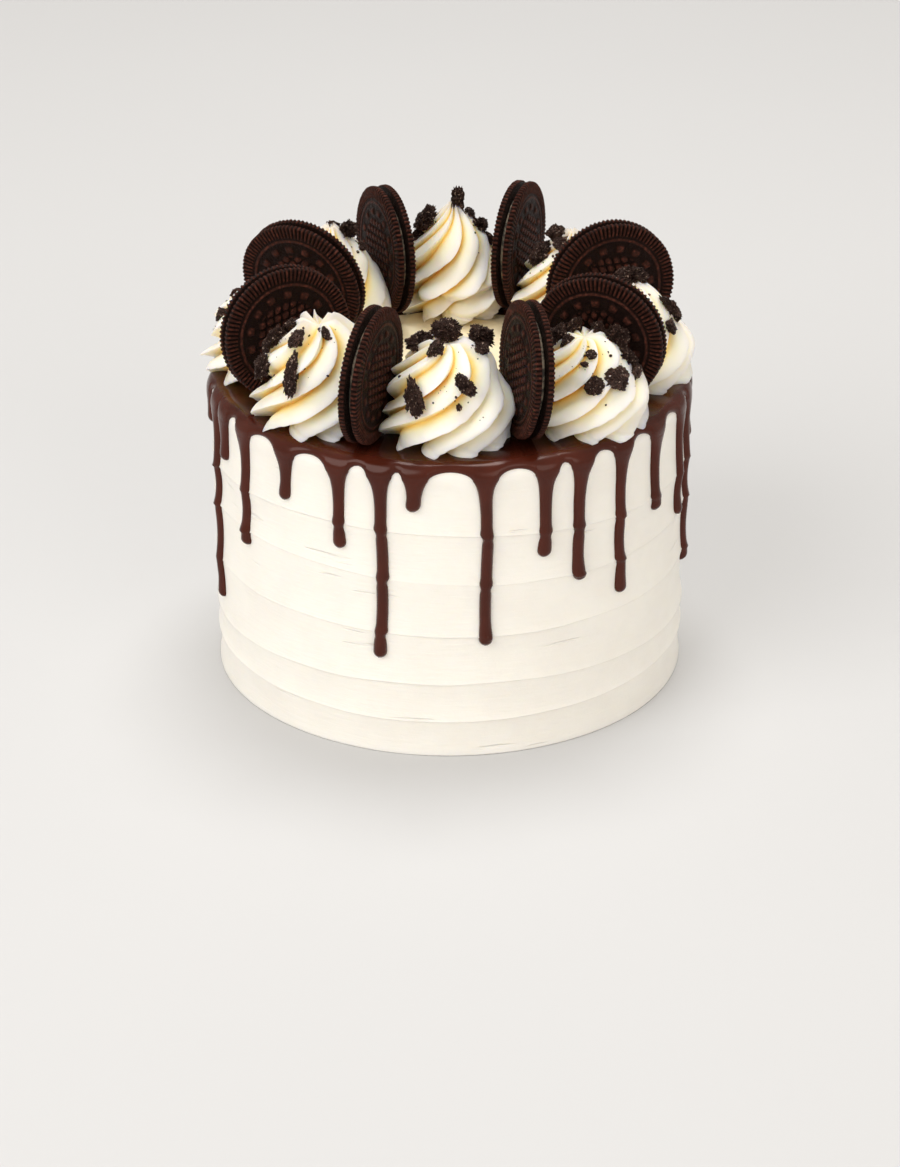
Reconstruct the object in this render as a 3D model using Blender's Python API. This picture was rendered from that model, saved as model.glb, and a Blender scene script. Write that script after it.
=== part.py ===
"""Tall frosted drip cake with piped swirls, sandwich cookies and broken cookie pieces.

Metres, +Z up. The origin is the middle of the cake's flat base, and the cake's front is towards -Y.
"""
import math
import random

import bmesh
import bpy
from mathutils import Matrix, Vector

MM = 0.001
GAP = 0.3 * MM
WELD_DISTANCE = 0.004 * MM

# Frosted body: straight side scraped into shallow scoops that meet in level ridges
CAKE_RADIUS = 80.0 * MM
CAKE_HEIGHT = 104.0 * MM
RIM_ROUNDING = 3.5 * MM
SCOOP_DEPTH = 0.7 * MM
SIDE_COLUMNS = 42
# Each ridge: height, how far it waves up and down, and the bearing of the wave in degrees
RIDGES = (
    (13.0 * MM, 0.6 * MM, 20.0),
    (24.6 * MM, 2.0 * MM, 90.0),
    (43.8 * MM, 0.5 * MM, 120.0),
    (63.3 * MM, 2.0 * MM, 140.0),
    (79.0 * MM, 2.2 * MM, 115.0),
)

# Poured ganache: a flat collar on the top and drips down the side
COLLAR_INNER_RADIUS = 52.0 * MM
COLLAR_SIDES = 64
COLLAR_THICKNESS = 1.3 * MM
SHOULDER_THICKNESS = 1.5 * MM
LIP_THICKNESS = 1.0 * MM
RIM_GAP = 0.45 * MM
RIM_START = -1.0 * MM
SHOULDER_ROWS = (0.3, 0.65)
DRIP_THICKNESS = 2.1 * MM
ARCH_RISE = 3.2 * MM
WIDE_ARCH = 9.0 * MM
DRIP_HALF_WIDTH = 2.0 * MM
BULB_HALF_WIDTH = 2.35 * MM
ROOT_HALF_WIDTH = 4.1 * MM
FLARE_LENGTH = 3.4 * MM
ROOT_DROP = 0.8 * MM
EDGE_SHARE = 0.55
# Rows of one drip: the first below its root as a share of the flare, the last above its tip
# in bulb half widths, and the least room that a row keeps from the flare and from the bulb
FLARE_ROW = 0.8
BULB_ROWS = (1.7, 0.6, 0.0)
ROW_ROOM = 1.5 * MM
BULB_ROOM = 2.2
# The tip is cut square at this share of the half width, squared, and thins towards its end
TIP_SQUARED = 0.12
TIP_DEPTH = 0.45
# Each drip that shows: its bearing in degrees and the height of its tip
FRONT_DRIPS = (
    (-175.5, 88.0 * MM),
    (-164.6, 29.4 * MM),
    (-157.6, 84.3 * MM),
    (-146.8, 60.0 * MM),
    (-131.5, 84.0 * MM),
    (-116.7, 72.4 * MM),
    (-106.3, 35.0 * MM),
    (-97.9, 88.7 * MM),
    (-81.8, 40.8 * MM),
    (-67.2, 70.2 * MM),
    (-58.0, 59.0 * MM),
    (-45.8, 48.8 * MM),
    (-32.6, 72.1 * MM),
    (-18.2, 62.4 * MM),
    (-8.4, 38.5 * MM),
    (0.6, 79.0 * MM),
)
BACK_DRIP_COUNT = 12
BACK_DRIP_LOW = 36.0 * MM
BACK_DRIP_HIGH = 88.0 * MM
BACK_DRIP_SHIFT = 1.6
LONG_DRIP_EVERY = 3
LONG_DRIP_SHARE = 0.08
SHORT_DRIP_SHARES = (0.35, 1.0)
DRIP_SIZES = (0.93, 1.07)

# Sandwich cookies: two wafers with a cream filling, standing on edge
COOKIE_RADIUS = 22.3 * MM
WAFER_THICKNESS = 2.1 * MM
WAFER_BEVEL = 0.6 * MM
FILLING_RADIUS = 19.0 * MM
FILLING_THICKNESS = 1.8 * MM
WAFER_SIDES = 22
FILLING_SIDES = 14
# Each cookie: bearing, distance from the middle, turn away from the radius, and lean, in degrees
COOKIES = (
    (-112.4, 65.8 * MM, 3.4, -2.4),
    (-66.6, 61.8 * MM, -9.3, -4.6),
    (-32.2, 57.6 * MM, 13.4, 3.4),
    (17.6, 57.0 * MM, 1.0, 0.4),
    (66.0, 59.0 * MM, 5.2, 0.0),
    (114.4, 54.0 * MM, -3.2, 0.8),
    (159.0, 53.0 * MM, -5.6, -9.7),
    (-155.0, 59.4 * MM, 1.2, 3.1),
)

# Piped swirls between the cookies
SWIRL_RIDGES = 10
SWIRL_RADIUS = 22.6 * MM
SWIRL_HEIGHT = 35.0 * MM
SWIRL_TWIST = math.radians(150.0)
TWIST_BIAS = 1.15
RIDGE_CUT = 0.27
RIDGE_CURVE = 0.75
RIDGE_CREST = 0.68
RIDGE_COLUMNS = (0.0, RIDGE_CREST)
TIER_SWELL = 0.06
TIER_RISE = 15.0 * MM
TIER_START = 0.1
# How far each swirl starts turned from the one before, in radians, and where its peak leans
SWIRL_PHASE = 1.7
PEAK_LEAN = (0.6 * MM, -0.4 * MM)
# How near a cookie or another swirl must be to hold a swirl back
COOKIE_REACH = 40.0 * MM
SWIRL_REACH = 60.0 * MM
# The little that is left of a swirl's bulge behind such a face, and the room it takes there
PRESSED_SHARE = 0.012
PRESSED_ROOM = 0.1 * MM
# Each swirl: bearing, distance from the middle, height as a share of the usual, and slimness
SWIRLS = (
    (-90.7, 54.8 * MM, 0.94, 0.42),
    (-44.6, 60.8 * MM, 0.86, 0.45),
    (-6.5, 60.0 * MM, 0.96, 0.60),
    (43.5, 58.0 * MM, 0.98, 0.80),
    (89.0, 57.0 * MM, 1.09, 0.98),
    (135.5, 57.5 * MM, 1.02, 0.80),
    (-178.0, 60.5 * MM, 0.95, 0.60),
    (-135.0, 59.6 * MM, 0.98, 0.45),
)
# The swirl's outline: share of the height, and share of the radius
SWIRL_OUTLINE = (
    (0.000, 0.62),
    (0.050, 0.84),
    (0.140, 0.97),
    (0.250, 0.985),
    (0.370, 0.925),
    (0.490, 0.825),
    (0.610, 0.68),
    (0.730, 0.515),
    (0.850, 0.31),
    (0.950, 0.12),
)

CUTTER_ROOM = 15.0 * MM

# Broken cookie: small crumbs stuck in each swirl, and larger pieces that are their own solids
CRUMBS_PER_SWIRL = 1
CRUMB_LENGTH = 4.6 * MM
CRUMB_LENGTHS = (0.8, 1.15)
CRUMB_WIDTHS = (0.6, 0.9)
CRUMB_DEPTHS = (0.5, 0.7)
CRUMB_RISES = (0.45, 0.8)
CRUMB_SPREAD = 60.0
CHUNK_ROUGHNESS = 0.14
CHUNK_RADIUS = 0.57
SUNK_SHARE = 0.34
SLOPE_STEP = 0.04
SLOPE_LIMIT = 0.9
# From this share of the height upwards a piece stands upright on the peak
UPRIGHT_FROM = 0.985
POCKET_GAP = 0.48 * MM
# Each piece: swirl, bearing round it, share of its height, length, width, thickness, and roll
PIECES = (
    (1, -123, 0.64, 13.0 * MM, 6.0 * MM, 3.8 * MM, 32),
    (1, 146, 0.90, 12.0 * MM, 5.5 * MM, 5.4 * MM, 84),
    (1, 110, 1.07, 9.5 * MM, 8.0 * MM, 6.5 * MM, 75),
    (1, 22, 0.95, 10.0 * MM, 7.0 * MM, 6.5 * MM, 20),
    (1, -72, 0.74, 8.4 * MM, 5.0 * MM, 3.8 * MM, 30),
    (2, 172, 0.93, 10.5 * MM, 6.0 * MM, 5.4 * MM, 75),
    (2, 12, 0.92, 8.5 * MM, 7.5 * MM, 5.6 * MM, 50),
    (2, -6, 0.72, 9.0 * MM, 6.5 * MM, 5.0 * MM, 20),
    (3, 120, 1.06, 11.0 * MM, 8.0 * MM, 6.5 * MM, 75),
    (3, -14, 0.77, 10.0 * MM, 4.8 * MM, 4.2 * MM, 8),
    (4, -167, 0.76, 9.0 * MM, 7.0 * MM, 4.6 * MM, 40),
    (5, 176, 0.80, 10.0 * MM, 8.0 * MM, 5.4 * MM, 35),
    (5, 6, 0.75, 9.0 * MM, 6.5 * MM, 4.8 * MM, 60),
    (5, 8, 1.02, 9.4 * MM, 5.2 * MM, 4.6 * MM, 5),
    (6, 6, 0.92, 10.0 * MM, 6.0 * MM, 5.4 * MM, 70),
    (8, -118, 0.66, 14.5 * MM, 4.6 * MM, 3.6 * MM, 6),
    (8, -160, 0.63, 8.5 * MM, 7.5 * MM, 4.4 * MM, 35),
    (8, 179, 0.83, 8.0 * MM, 6.0 * MM, 5.0 * MM, 15),
)

RIM_RADIUS = CAKE_RADIUS + 0.5 * SCOOP_DEPTH
FLAT_RADIUS = RIM_RADIUS - RIM_ROUNDING
SHOULDER_START = CAKE_HEIGHT - RIM_ROUNDING
SHOULDER_LENGTH = RIM_ROUNDING * math.pi / 2
GANACHE_TOP = CAKE_HEIGHT + GAP + COLLAR_THICKNESS
STANDING_HEIGHT = GANACHE_TOP + GAP
COOKIE_HALF = FILLING_THICKNESS / 2 + GAP + WAFER_THICKNESS


def clear_scene():
    for item in list(bpy.data.objects):
        bpy.data.objects.remove(item, do_unlink=True)


def material(name, colour, roughness):
    made = bpy.data.materials.new(name)
    made.use_nodes = True
    shader = made.node_tree.nodes["Principled BSDF"]
    shader.inputs["Base Color"].default_value = (*colour, 1.0)
    shader.inputs["Roughness"].default_value = roughness
    shader.inputs["Metallic"].default_value = 0.0
    made.diffuse_color = (*colour, 1.0)
    return made


def new_object(name, points, faces, finish):
    mesh = bpy.data.meshes.new(name)
    mesh.from_pydata([tuple(p) for p in points], [], faces)
    shell = bmesh.new()
    shell.from_mesh(mesh)
    bmesh.ops.recalc_face_normals(shell, faces=shell.faces)
    shell.to_mesh(mesh)
    shell.free()
    if finish is not None:
        mesh.materials.append(finish)
    made = bpy.data.objects.new(name, mesh)
    bpy.context.scene.collection.objects.link(made)
    return made


def shade(item, sharp_degrees):
    item.data.shade_smooth()
    item.data.set_sharp_from_angle(angle=math.radians(sharp_degrees))


def polar(bearing, radius, height):
    return Vector((radius * math.cos(bearing), radius * math.sin(bearing), height))


def mix(low, high, share):
    return low + (high - low) * share


# Frosted body

def band_edges(bearing):
    """Heights at one bearing where the scoops meet, from the base to the shoulder."""
    edges = [0.0]
    for height, wave, turn in RIDGES:
        edges.append(height + wave * math.cos(2 * (bearing + math.radians(turn))))
    edges.append(SHOULDER_START)
    return edges


def side_radius(bearing, height):
    edges = band_edges(bearing)
    for low, high in zip(edges, edges[1:]):
        if height <= high:
            share = (height - low) / (high - low)
            return CAKE_RADIUS + SCOOP_DEPTH * ((2 * share - 1) ** 2 - 0.5)
    return RIM_RADIUS


def body_heights(bearing):
    edges = band_edges(bearing)
    heights = [edges[0]]
    for low, high in zip(edges, edges[1:]):
        heights.append((low + high) / 2)
        heights.append(high)
    return heights


def frosted_cake(finish):
    points = []
    rows = None
    for column in range(SIDE_COLUMNS):
        bearing = 2 * math.pi * column / SIDE_COLUMNS
        line = []
        for height in body_heights(bearing):
            line.append(polar(bearing, side_radius(bearing, height), height))
        for turn in (45.0, 90.0):
            angle = math.radians(turn)
            radius = FLAT_RADIUS + RIM_ROUNDING * math.cos(angle)
            line.append(polar(bearing, radius, SHOULDER_START + RIM_ROUNDING * math.sin(angle)))
        points.extend(line)
        rows = len(line)
    faces = []
    for column in range(SIDE_COLUMNS):
        here = column * rows
        beside = (column + 1) % SIDE_COLUMNS * rows
        for row in range(rows - 1):
            faces.append((here + row, beside + row, beside + row + 1, here + row + 1))
    faces.append([column * rows for column in range(SIDE_COLUMNS)])
    faces.append([column * rows + rows - 1 for column in range(SIDE_COLUMNS)])
    cake = new_object("frosted_cake", points, faces, finish)
    shade(cake, 50.0)
    return cake


# Ganache

def skin_point(bearing, along, lift):
    """A point over the frosting: along runs outwards over the top, round the rim and down."""
    if along <= 0:
        return polar(bearing, FLAT_RADIUS + along, CAKE_HEIGHT + lift)
    if along < SHOULDER_LENGTH:
        angle = along / RIM_ROUNDING
        reach = RIM_ROUNDING + lift
        height = SHOULDER_START + reach * math.cos(angle)
        return polar(bearing, FLAT_RADIUS + reach * math.sin(angle), height)
    height = SHOULDER_START - (along - SHOULDER_LENGTH)
    return polar(bearing, side_radius(bearing, height) + lift, height)


def along_at(height):
    return SHOULDER_LENGTH + SHOULDER_START - height


def all_drips():
    """Bearing in radians, tip as a length along the skin, and size share of every drip."""
    rng = random.Random(7)
    drips = [(math.radians(turn), height) for turn, height in FRONT_DRIPS]
    first = FRONT_DRIPS[-1][0]
    span = FRONT_DRIPS[0][0] + 360.0 - first
    for step in range(1, BACK_DRIP_COUNT + 1):
        shift = rng.uniform(-BACK_DRIP_SHIFT, BACK_DRIP_SHIFT)
        turn = first + span * step / (BACK_DRIP_COUNT + 1) + shift
        share = LONG_DRIP_SHARE
        if step % LONG_DRIP_EVERY != 1:
            share = rng.uniform(*SHORT_DRIP_SHARES)
        drips.append((math.radians(turn), mix(BACK_DRIP_LOW, BACK_DRIP_HIGH, share)))
    turn = 2 * math.pi
    drips = sorted(((bearing + math.pi) % turn - math.pi, height) for bearing, height in drips)
    return [(bearing, along_at(height), rng.uniform(*DRIP_SIZES)) for bearing, height in drips]


def drip_rows(bearing, root, tip, bulb):
    """Places along one drip: the flare, each ridge that it runs over, and the round end."""
    flare = root + FLARE_LENGTH * FLARE_ROW
    rows = [flare]
    for height in reversed(band_edges(bearing)[1:-1]):
        place = along_at(height)
        if flare + ROW_ROOM < place < tip - BULB_ROOM * bulb:
            rows.append(place)
    rows.extend(tip - share * bulb for share in BULB_ROWS)
    return rows


def drip_half_width(along, root, tip, size):
    stem = DRIP_HALF_WIDTH * size
    bulb = BULB_HALF_WIDTH * size
    width = stem + (ROOT_HALF_WIDTH - stem) * math.exp(-(along - root) / FLARE_LENGTH)
    swell = max(0.0, 1.0 - (tip - bulb - along) / (3.0 * bulb))
    width = max(width, mix(stem, bulb, min(1.0, swell)))
    past = max(0.0, along - (tip - bulb)) / bulb
    return width * math.sqrt(max(TIP_SQUARED, 1.0 - past ** 2))


def ganache_columns(drips):
    """Bearing and lower edge of each column round the collar; drips own three columns each."""
    root = SHOULDER_LENGTH + ROOT_DROP
    half_turn = ROOT_HALF_WIDTH / RIM_RADIUS
    columns = []
    for index, (bearing, tip, size) in enumerate(drips):
        for side in (-1, 0, 1):
            columns.append((bearing + side * half_turn, root, (index, side)))
        following = drips[(index + 1) % len(drips)][0]
        if following < bearing:
            following += 2 * math.pi
        start = bearing + half_turn
        stop = following - half_turn
        count = 2 if (stop - start) * RIM_RADIUS > WIDE_ARCH else 1
        for step in range(1, count + 1):
            share = step / (count + 1)
            rise = ARCH_RISE * math.sin(math.pi * share) ** 0.5
            columns.append((mix(start, stop, share), root - rise, None))
    return columns, root


def ganache(finish):
    drips = all_drips()
    columns, root = ganache_columns(drips)
    inner = COLLAR_INNER_RADIUS - FLAT_RADIUS
    points = []
    quads = []
    tops = {}

    def add(bearing, along, lift, back=GAP):
        points.append(skin_point(bearing, along, back))
        points.append(skin_point(bearing, along, GAP + lift))
        return len(points) - 2

    for index, (bearing, edge, owner) in enumerate(columns):
        line = [add(bearing, inner, COLLAR_THICKNESS), add(bearing, RIM_START, COLLAR_THICKNESS)]
        for share in SHOULDER_ROWS:
            depth = mix(COLLAR_THICKNESS, SHOULDER_THICKNESS, share)
            line.append(add(bearing, edge * share, depth, mix(GAP, RIM_GAP, share)))
        line.append(add(bearing, edge, SHOULDER_THICKNESS if owner else LIP_THICKNESS, RIM_GAP))
        tops[index] = line
    for index in range(len(columns)):
        here = tops[index]
        beside = tops[(index + 1) % len(columns)]
        for row in range(len(here) - 1):
            quads.append((here[row], beside[row], beside[row + 1], here[row + 1]))

    roots = {owner: tops[index][-1] for index, (bearing, edge, owner) in enumerate(columns) if owner}
    for index, (bearing, tip, size) in enumerate(drips):
        bulb = BULB_HALF_WIDTH * size
        above = [roots[(index, side)] for side in (-1, 0, 1)]
        for along in drip_rows(bearing, root, tip, bulb):
            half_turn = drip_half_width(along, root, tip, size) / RIM_RADIUS
            depth = DRIP_THICKNESS * size * min(1.0, TIP_DEPTH + (tip - along) / (2.0 * bulb))
            line = []
            for side in (-1, 0, 1):
                turn = bearing + side * half_turn
                line.append(add(turn, along, depth * (EDGE_SHARE if side else 1.0)))
            for step in range(2):
                quads.append((above[step], above[step + 1], line[step + 1], line[step]))
            above = line

    faces = thick_faces(quads)
    skin = new_object("ganache_drip", points, faces, finish)
    shade(skin, 60.0)
    return skin


def thick_faces(quads):
    """Outer face, back face and a wall along every open edge of a sheet of point pairs."""
    faces = []
    seen = {}
    for quad in quads:
        faces.append([corner + 1 for corner in quad])
        faces.append(list(reversed(quad)))
        for start, stop in zip(quad, quad[1:] + quad[:1]):
            seen[(start, stop)] = (stop, start)
    for (start, stop), other in seen.items():
        if other not in seen:
            faces.append((start, stop, stop + 1, start + 1))
    return faces


# Cookies

def turned(profile, sides):
    """Points and faces of a solid turned round Z, from its closed half outline."""
    points = []
    for step in range(sides):
        angle = 2 * math.pi * step / sides
        for radius, height in profile:
            points.append(polar(angle, radius, height))
    rows = len(profile)
    faces = []
    for step in range(sides):
        here = step * rows
        beside = (step + 1) % sides * rows
        for row in range(rows - 1):
            faces.append((here + row, beside + row, beside + row + 1, here + row + 1))
    faces.append([step * rows for step in range(sides)])
    faces.append([step * rows + rows - 1 for step in range(sides)])
    return points, faces


def cookie_frame(place):
    """Matrix of one cookie: its local Z is the axis through both wafers."""
    turn, distance, swing, lean = place
    bearing = math.radians(turn)
    facing = bearing + math.pi / 2 + math.radians(swing)
    tip = math.radians(lean)
    axis = Vector((math.cos(facing) * math.cos(tip), math.sin(facing) * math.cos(tip), math.sin(tip)))
    level = Vector((-math.sin(facing), math.cos(facing), 0.0))
    frame = Matrix((level, axis.cross(level), axis)).transposed().to_4x4()
    reach = COOKIE_RADIUS * math.cos(tip) + COOKIE_HALF * abs(math.sin(tip))
    frame.translation = polar(bearing, distance, STANDING_HEIGHT + reach)
    return frame


def cookies(wafer_finish, filling_finish):
    face = FILLING_THICKNESS / 2 + GAP
    wafer_profile = (
        (COOKIE_RADIUS, face),
        (COOKIE_RADIUS, COOKIE_HALF - WAFER_BEVEL),
        (COOKIE_RADIUS - WAFER_BEVEL, COOKIE_HALF),
    )
    filling_profile = (
        (FILLING_RADIUS, -FILLING_THICKNESS / 2),
        (FILLING_RADIUS, FILLING_THICKNESS / 2),
    )
    flip = Matrix.Rotation(math.pi, 4, "X")
    for number, place in enumerate(COOKIES, 1):
        frame = cookie_frame(place)
        for label, turn in (("a", Matrix.Identity(4)), ("b", flip)):
            name = f"cookie_{number}_wafer_{label}"
            wafer = new_object(name, *turned(wafer_profile, WAFER_SIDES), wafer_finish)
            shade(wafer, 35.0)
            wafer.matrix_world = frame @ turn
        name = f"cookie_{number}_filling"
        filling = new_object(name, *turned(filling_profile, FILLING_SIDES), filling_finish)
        shade(filling, 35.0)
        filling.matrix_world = frame


# Swirls

def swirl_axis(place):
    return polar(math.radians(place[0]), place[1], CAKE_HEIGHT + GAP)


def swirl_limits(number):
    """Planes that hold a swirl back: the near faces of its cookies and the neighbouring swirls."""
    centre = swirl_axis(SWIRLS[number])
    limits = []
    for place in COOKIES:
        frame = cookie_frame(place)
        middle = frame.translation
        if (middle - centre).to_2d().length > COOKIE_REACH:
            continue
        axis = frame.to_3x3() @ Vector((0, 0, 1))
        side = 1.0 if (centre - middle).dot(axis) > 0 else -1.0
        limits.append((axis * side, middle.dot(axis * side) + COOKIE_HALF + GAP + PRESSED_ROOM))
    for other, place in enumerate(SWIRLS):
        away = (centre - swirl_axis(place)).to_2d()
        if other == number or away.length > SWIRL_REACH:
            continue
        normal = Vector((away.x, away.y, 0.0)).normalized()
        halfway = (centre + swirl_axis(place)) / 2
        limits.append((normal, halfway.dot(normal) + GAP / 2 + PRESSED_ROOM))
    return limits


def held_back(point, limits):
    for normal, offset in limits:
        short = offset - point.dot(normal)
        if short > 0:
            point = point + normal * short * (1.0 - PRESSED_SHARE)
    return point


def ridge_share(turn):
    """Radius share across one ridge: a long rise from the crease to a crest, and a short fall."""
    share = turn * SWIRL_RIDGES / (2 * math.pi) % 1.0
    rise = share / RIDGE_CREST if share < RIDGE_CREST else (1.0 - share) / (1.0 - RIDGE_CREST)
    return 1.0 - RIDGE_CUT * (1.0 - rise ** RIDGE_CURVE)


def swirl_turn(number, rise):
    """How far the ridges have turned at one height; they turn faster near the base."""
    return number * SWIRL_PHASE + SWIRL_TWIST * (1.0 - (1.0 - min(rise, 1.0)) ** TWIST_BIAS)


def outline_reach(number, rise):
    """The swirl's radius at one height, before its ridges are cut, as a share of the largest."""
    reach = SWIRL_OUTLINE[-1][1]
    for (low, near), (high, far) in zip(SWIRL_OUTLINE, SWIRL_OUTLINE[1:]):
        if rise <= high:
            reach = mix(near, far, (rise - low) / (high - low))
            break
    else:
        reach *= max(0.0, (1.0 - rise) / (1.0 - SWIRL_OUTLINE[-1][0]))
    return reach ** SWIRLS[number][3]


def swirl_radius(number, bearing, rise):
    height = SWIRL_HEIGHT * SWIRLS[number][2]
    tier = 1.0
    if rise > TIER_START:
        tier += TIER_SWELL * math.cos(2 * math.pi * rise * height / TIER_RISE - bearing)
    ridge = ridge_share(bearing - swirl_turn(number, rise))
    return SWIRL_RADIUS * outline_reach(number, rise) * ridge * tier


def swirl_body(number, finish):
    centre = swirl_axis(SWIRLS[number])
    height = SWIRL_HEIGHT * SWIRLS[number][2]
    limits = swirl_limits(number)
    turns = [(ridge + part) / SWIRL_RIDGES for ridge in range(SWIRL_RIDGES) for part in RIDGE_COLUMNS]
    points = []
    for rise, _ in SWIRL_OUTLINE:
        for turn in turns:
            bearing = 2 * math.pi * turn + swirl_turn(number, rise)
            radius = swirl_radius(number, bearing, rise)
            points.append(held_back(centre + polar(bearing, radius, rise * height), limits))
    columns = len(turns)
    faces = []
    for row in range(len(SWIRL_OUTLINE) - 1):
        for column in range(columns):
            beside = (column + 1) % columns
            low = row * columns
            faces.append((low + column, low + beside, low + columns + beside, low + columns + column))
    peak = len(points)
    points.append(centre + Vector((*PEAK_LEAN, height)))
    last = (len(SWIRL_OUTLINE) - 1) * columns
    for column in range(columns):
        faces.append((last + column, last + (column + 1) % columns, peak))
    faces.append(list(range(columns)))
    return new_object(f"swirl_{number + 1}", points, faces, finish)


# Broken cookie

def chunk(name, number, bearing, rise, size, roll, rng, finish):
    """A rough broken lump, its length, width and thickness in size, set into one swirl."""
    shell = bmesh.new()
    bmesh.ops.create_icosphere(shell, subdivisions=1, radius=CHUNK_RADIUS)
    for vert in shell.verts:
        rough = 1.0 + rng.uniform(-CHUNK_ROUGHNESS, CHUNK_ROUGHNESS)
        vert.co = Vector(place * extent * rough for place, extent in zip(vert.co, size))
    mesh = bpy.data.meshes.new(name)
    shell.to_mesh(mesh)
    shell.free()
    if finish is not None:
        mesh.materials.append(finish)
    height = SWIRL_HEIGHT * SWIRLS[number][2]
    middle = min(rise, SLOPE_LIMIT)
    fall = outline_reach(number, middle - SLOPE_STEP) - outline_reach(number, middle + SLOPE_STEP)
    steep = fall * SWIRL_RADIUS / (2 * SLOPE_STEP * height) if rise < UPRIGHT_FROM else 0.0
    out = Vector((math.cos(bearing), math.sin(bearing), steep)).normalized()
    side = Vector((-math.sin(bearing), math.cos(bearing), 0.0))
    frame = Matrix((side.cross(out), side, out)).transposed().to_4x4()
    radius = swirl_radius(number, bearing, rise)
    surface = swirl_axis(SWIRLS[number]) + polar(bearing, radius, rise * height)
    frame.translation = surface + out * size[2] * SUNK_SHARE
    mesh.transform(frame @ Matrix.Rotation(math.radians(roll), 4, "Z"))
    limits = swirl_limits(number)
    for vert in mesh.vertices:
        vert.co = held_back(vert.co, limits)
    made = bpy.data.objects.new(name, mesh)
    bpy.context.scene.collection.objects.link(made)
    return made


def pieces(number, finish):
    """The larger pieces on one swirl, and a slightly larger copy of each that cuts its pocket."""
    made = []
    cutters = []
    for index, (owner, turn, rise, length, width, depth, roll) in enumerate(PIECES, 1):
        if owner != number + 1:
            continue
        rng = random.Random(index)
        name = f"cookie_piece_{index}"
        piece = chunk(name, number, math.radians(turn), rise, (length, width, depth), roll, rng, finish)
        cutter = bpy.data.objects.new("pocket", piece.data.copy())
        bpy.context.scene.collection.objects.link(cutter)
        middle = sum((vert.co for vert in cutter.data.vertices), Vector()) / len(cutter.data.vertices)
        for vert in cutter.data.vertices:
            away = vert.co - middle
            vert.co = vert.co + away.normalized() * POCKET_GAP
        made.append(piece)
        cutters.append(cutter)
    return made, cutters


def crumbs(number):
    """Small crumbs stuck in the outer side of one swirl, to be joined with it."""
    rng = random.Random(160 + number)
    made = []
    for _ in range(CRUMBS_PER_SWIRL):
        bearing = math.radians(SWIRLS[number][0] + rng.uniform(-CRUMB_SPREAD, CRUMB_SPREAD))
        length = CRUMB_LENGTH * rng.uniform(*CRUMB_LENGTHS)
        size = (length, length * rng.uniform(*CRUMB_WIDTHS), length * rng.uniform(*CRUMB_DEPTHS))
        rise = rng.uniform(*CRUMB_RISES)
        made.append(chunk("crumb", number, bearing, rise, size, rng.uniform(0, 180), rng, None))
    return made


# Joining and cutting

def boolean(item, operation, others):
    """Unite others with item, or take them away, through one Boolean on a collection."""
    group = bpy.data.collections.new("operands")
    bpy.context.scene.collection.children.link(group)
    for other in others:
        bpy.context.scene.collection.objects.unlink(other)
        group.objects.link(other)
    step = item.modifiers.new("join", "BOOLEAN")
    step.operation = operation
    step.operand_type = "COLLECTION"
    step.collection = group
    step.solver = "EXACT"
    graph = bpy.context.evaluated_depsgraph_get()
    joined = bpy.data.meshes.new_from_object(item.evaluated_get(graph))
    item.modifiers.clear()
    item.data = joined
    for other in others:
        bpy.data.objects.remove(other, do_unlink=True)
    bpy.data.collections.remove(group)


def largest_shell(item):
    """Keep the biggest closed shell of a mesh and drop loose scraps."""
    shell = bmesh.new()
    shell.from_mesh(item.data)
    bmesh.ops.remove_doubles(shell, verts=shell.verts, dist=WELD_DISTANCE)
    left = set(shell.faces)
    groups = []
    while left:
        group = {left.pop()}
        edge = list(group)
        while edge:
            for face in [link for line in edge.pop().edges for link in line.link_faces if link in left]:
                left.discard(face)
                group.add(face)
                edge.append(face)
        groups.append(group)
    keep = max(groups, key=len)
    bmesh.ops.delete(shell, geom=[face for face in shell.faces if face not in keep], context="FACES")
    shell.to_mesh(item.data)
    shell.free()


def collar_cutter():
    """The space that the ganache collar and its gap take from the underside of a swirl."""
    inner = COLLAR_INNER_RADIUS - POCKET_GAP
    outer = CAKE_RADIUS + CUTTER_ROOM
    low = CAKE_HEIGHT - CUTTER_ROOM
    outline = ((inner, low), (outer, low), (outer, STANDING_HEIGHT), (inner, STANDING_HEIGHT))
    points = []
    for step in range(COLLAR_SIDES):
        angle = 2 * math.pi * step / COLLAR_SIDES
        points.extend(polar(angle, radius, height) for radius, height in outline)
    rows = len(outline)
    faces = []
    for step in range(COLLAR_SIDES):
        here = step * rows
        beside = (step + 1) % COLLAR_SIDES * rows
        for row in range(rows):
            after = (row + 1) % rows
            faces.append((here + row, beside + row, beside + after, here + after))
    return new_object("collar_space", points, faces, None)


def swirl(number, piped, cocoa):
    body = swirl_body(number, piped)
    boolean(body, "UNION", crumbs(number))
    solids, cutters = pieces(number, cocoa)
    boolean(body, "DIFFERENCE", [collar_cutter()] + cutters)
    largest_shell(body)
    shade(body, 40.0)
    for solid in solids:
        shade(solid, 25.0)


def main():
    clear_scene()
    frosting = material("white_buttercream", (0.93, 0.88, 0.78), 0.55)
    piped = material("piped_buttercream", (0.95, 0.87, 0.68), 0.5)
    chocolate = material("dark_ganache", (0.082, 0.028, 0.018), 0.3)
    wafer = material("cocoa_wafer", (0.02, 0.012, 0.01), 0.8)
    filling = material("vanilla_filling", (0.75, 0.73, 0.62), 0.7)
    frosted_cake(frosting)
    ganache(chocolate)
    cookies(wafer, filling)
    for number in range(len(SWIRLS)):
        swirl(number, piped, wafer)


main()
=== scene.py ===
import math
import random

import bmesh
import bpy
import numpy as np
from bpy.props import FloatProperty, FloatVectorProperty, IntProperty, PointerProperty
from mathutils import Matrix, Vector, noise
from mathutils.kdtree import KDTree


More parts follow.
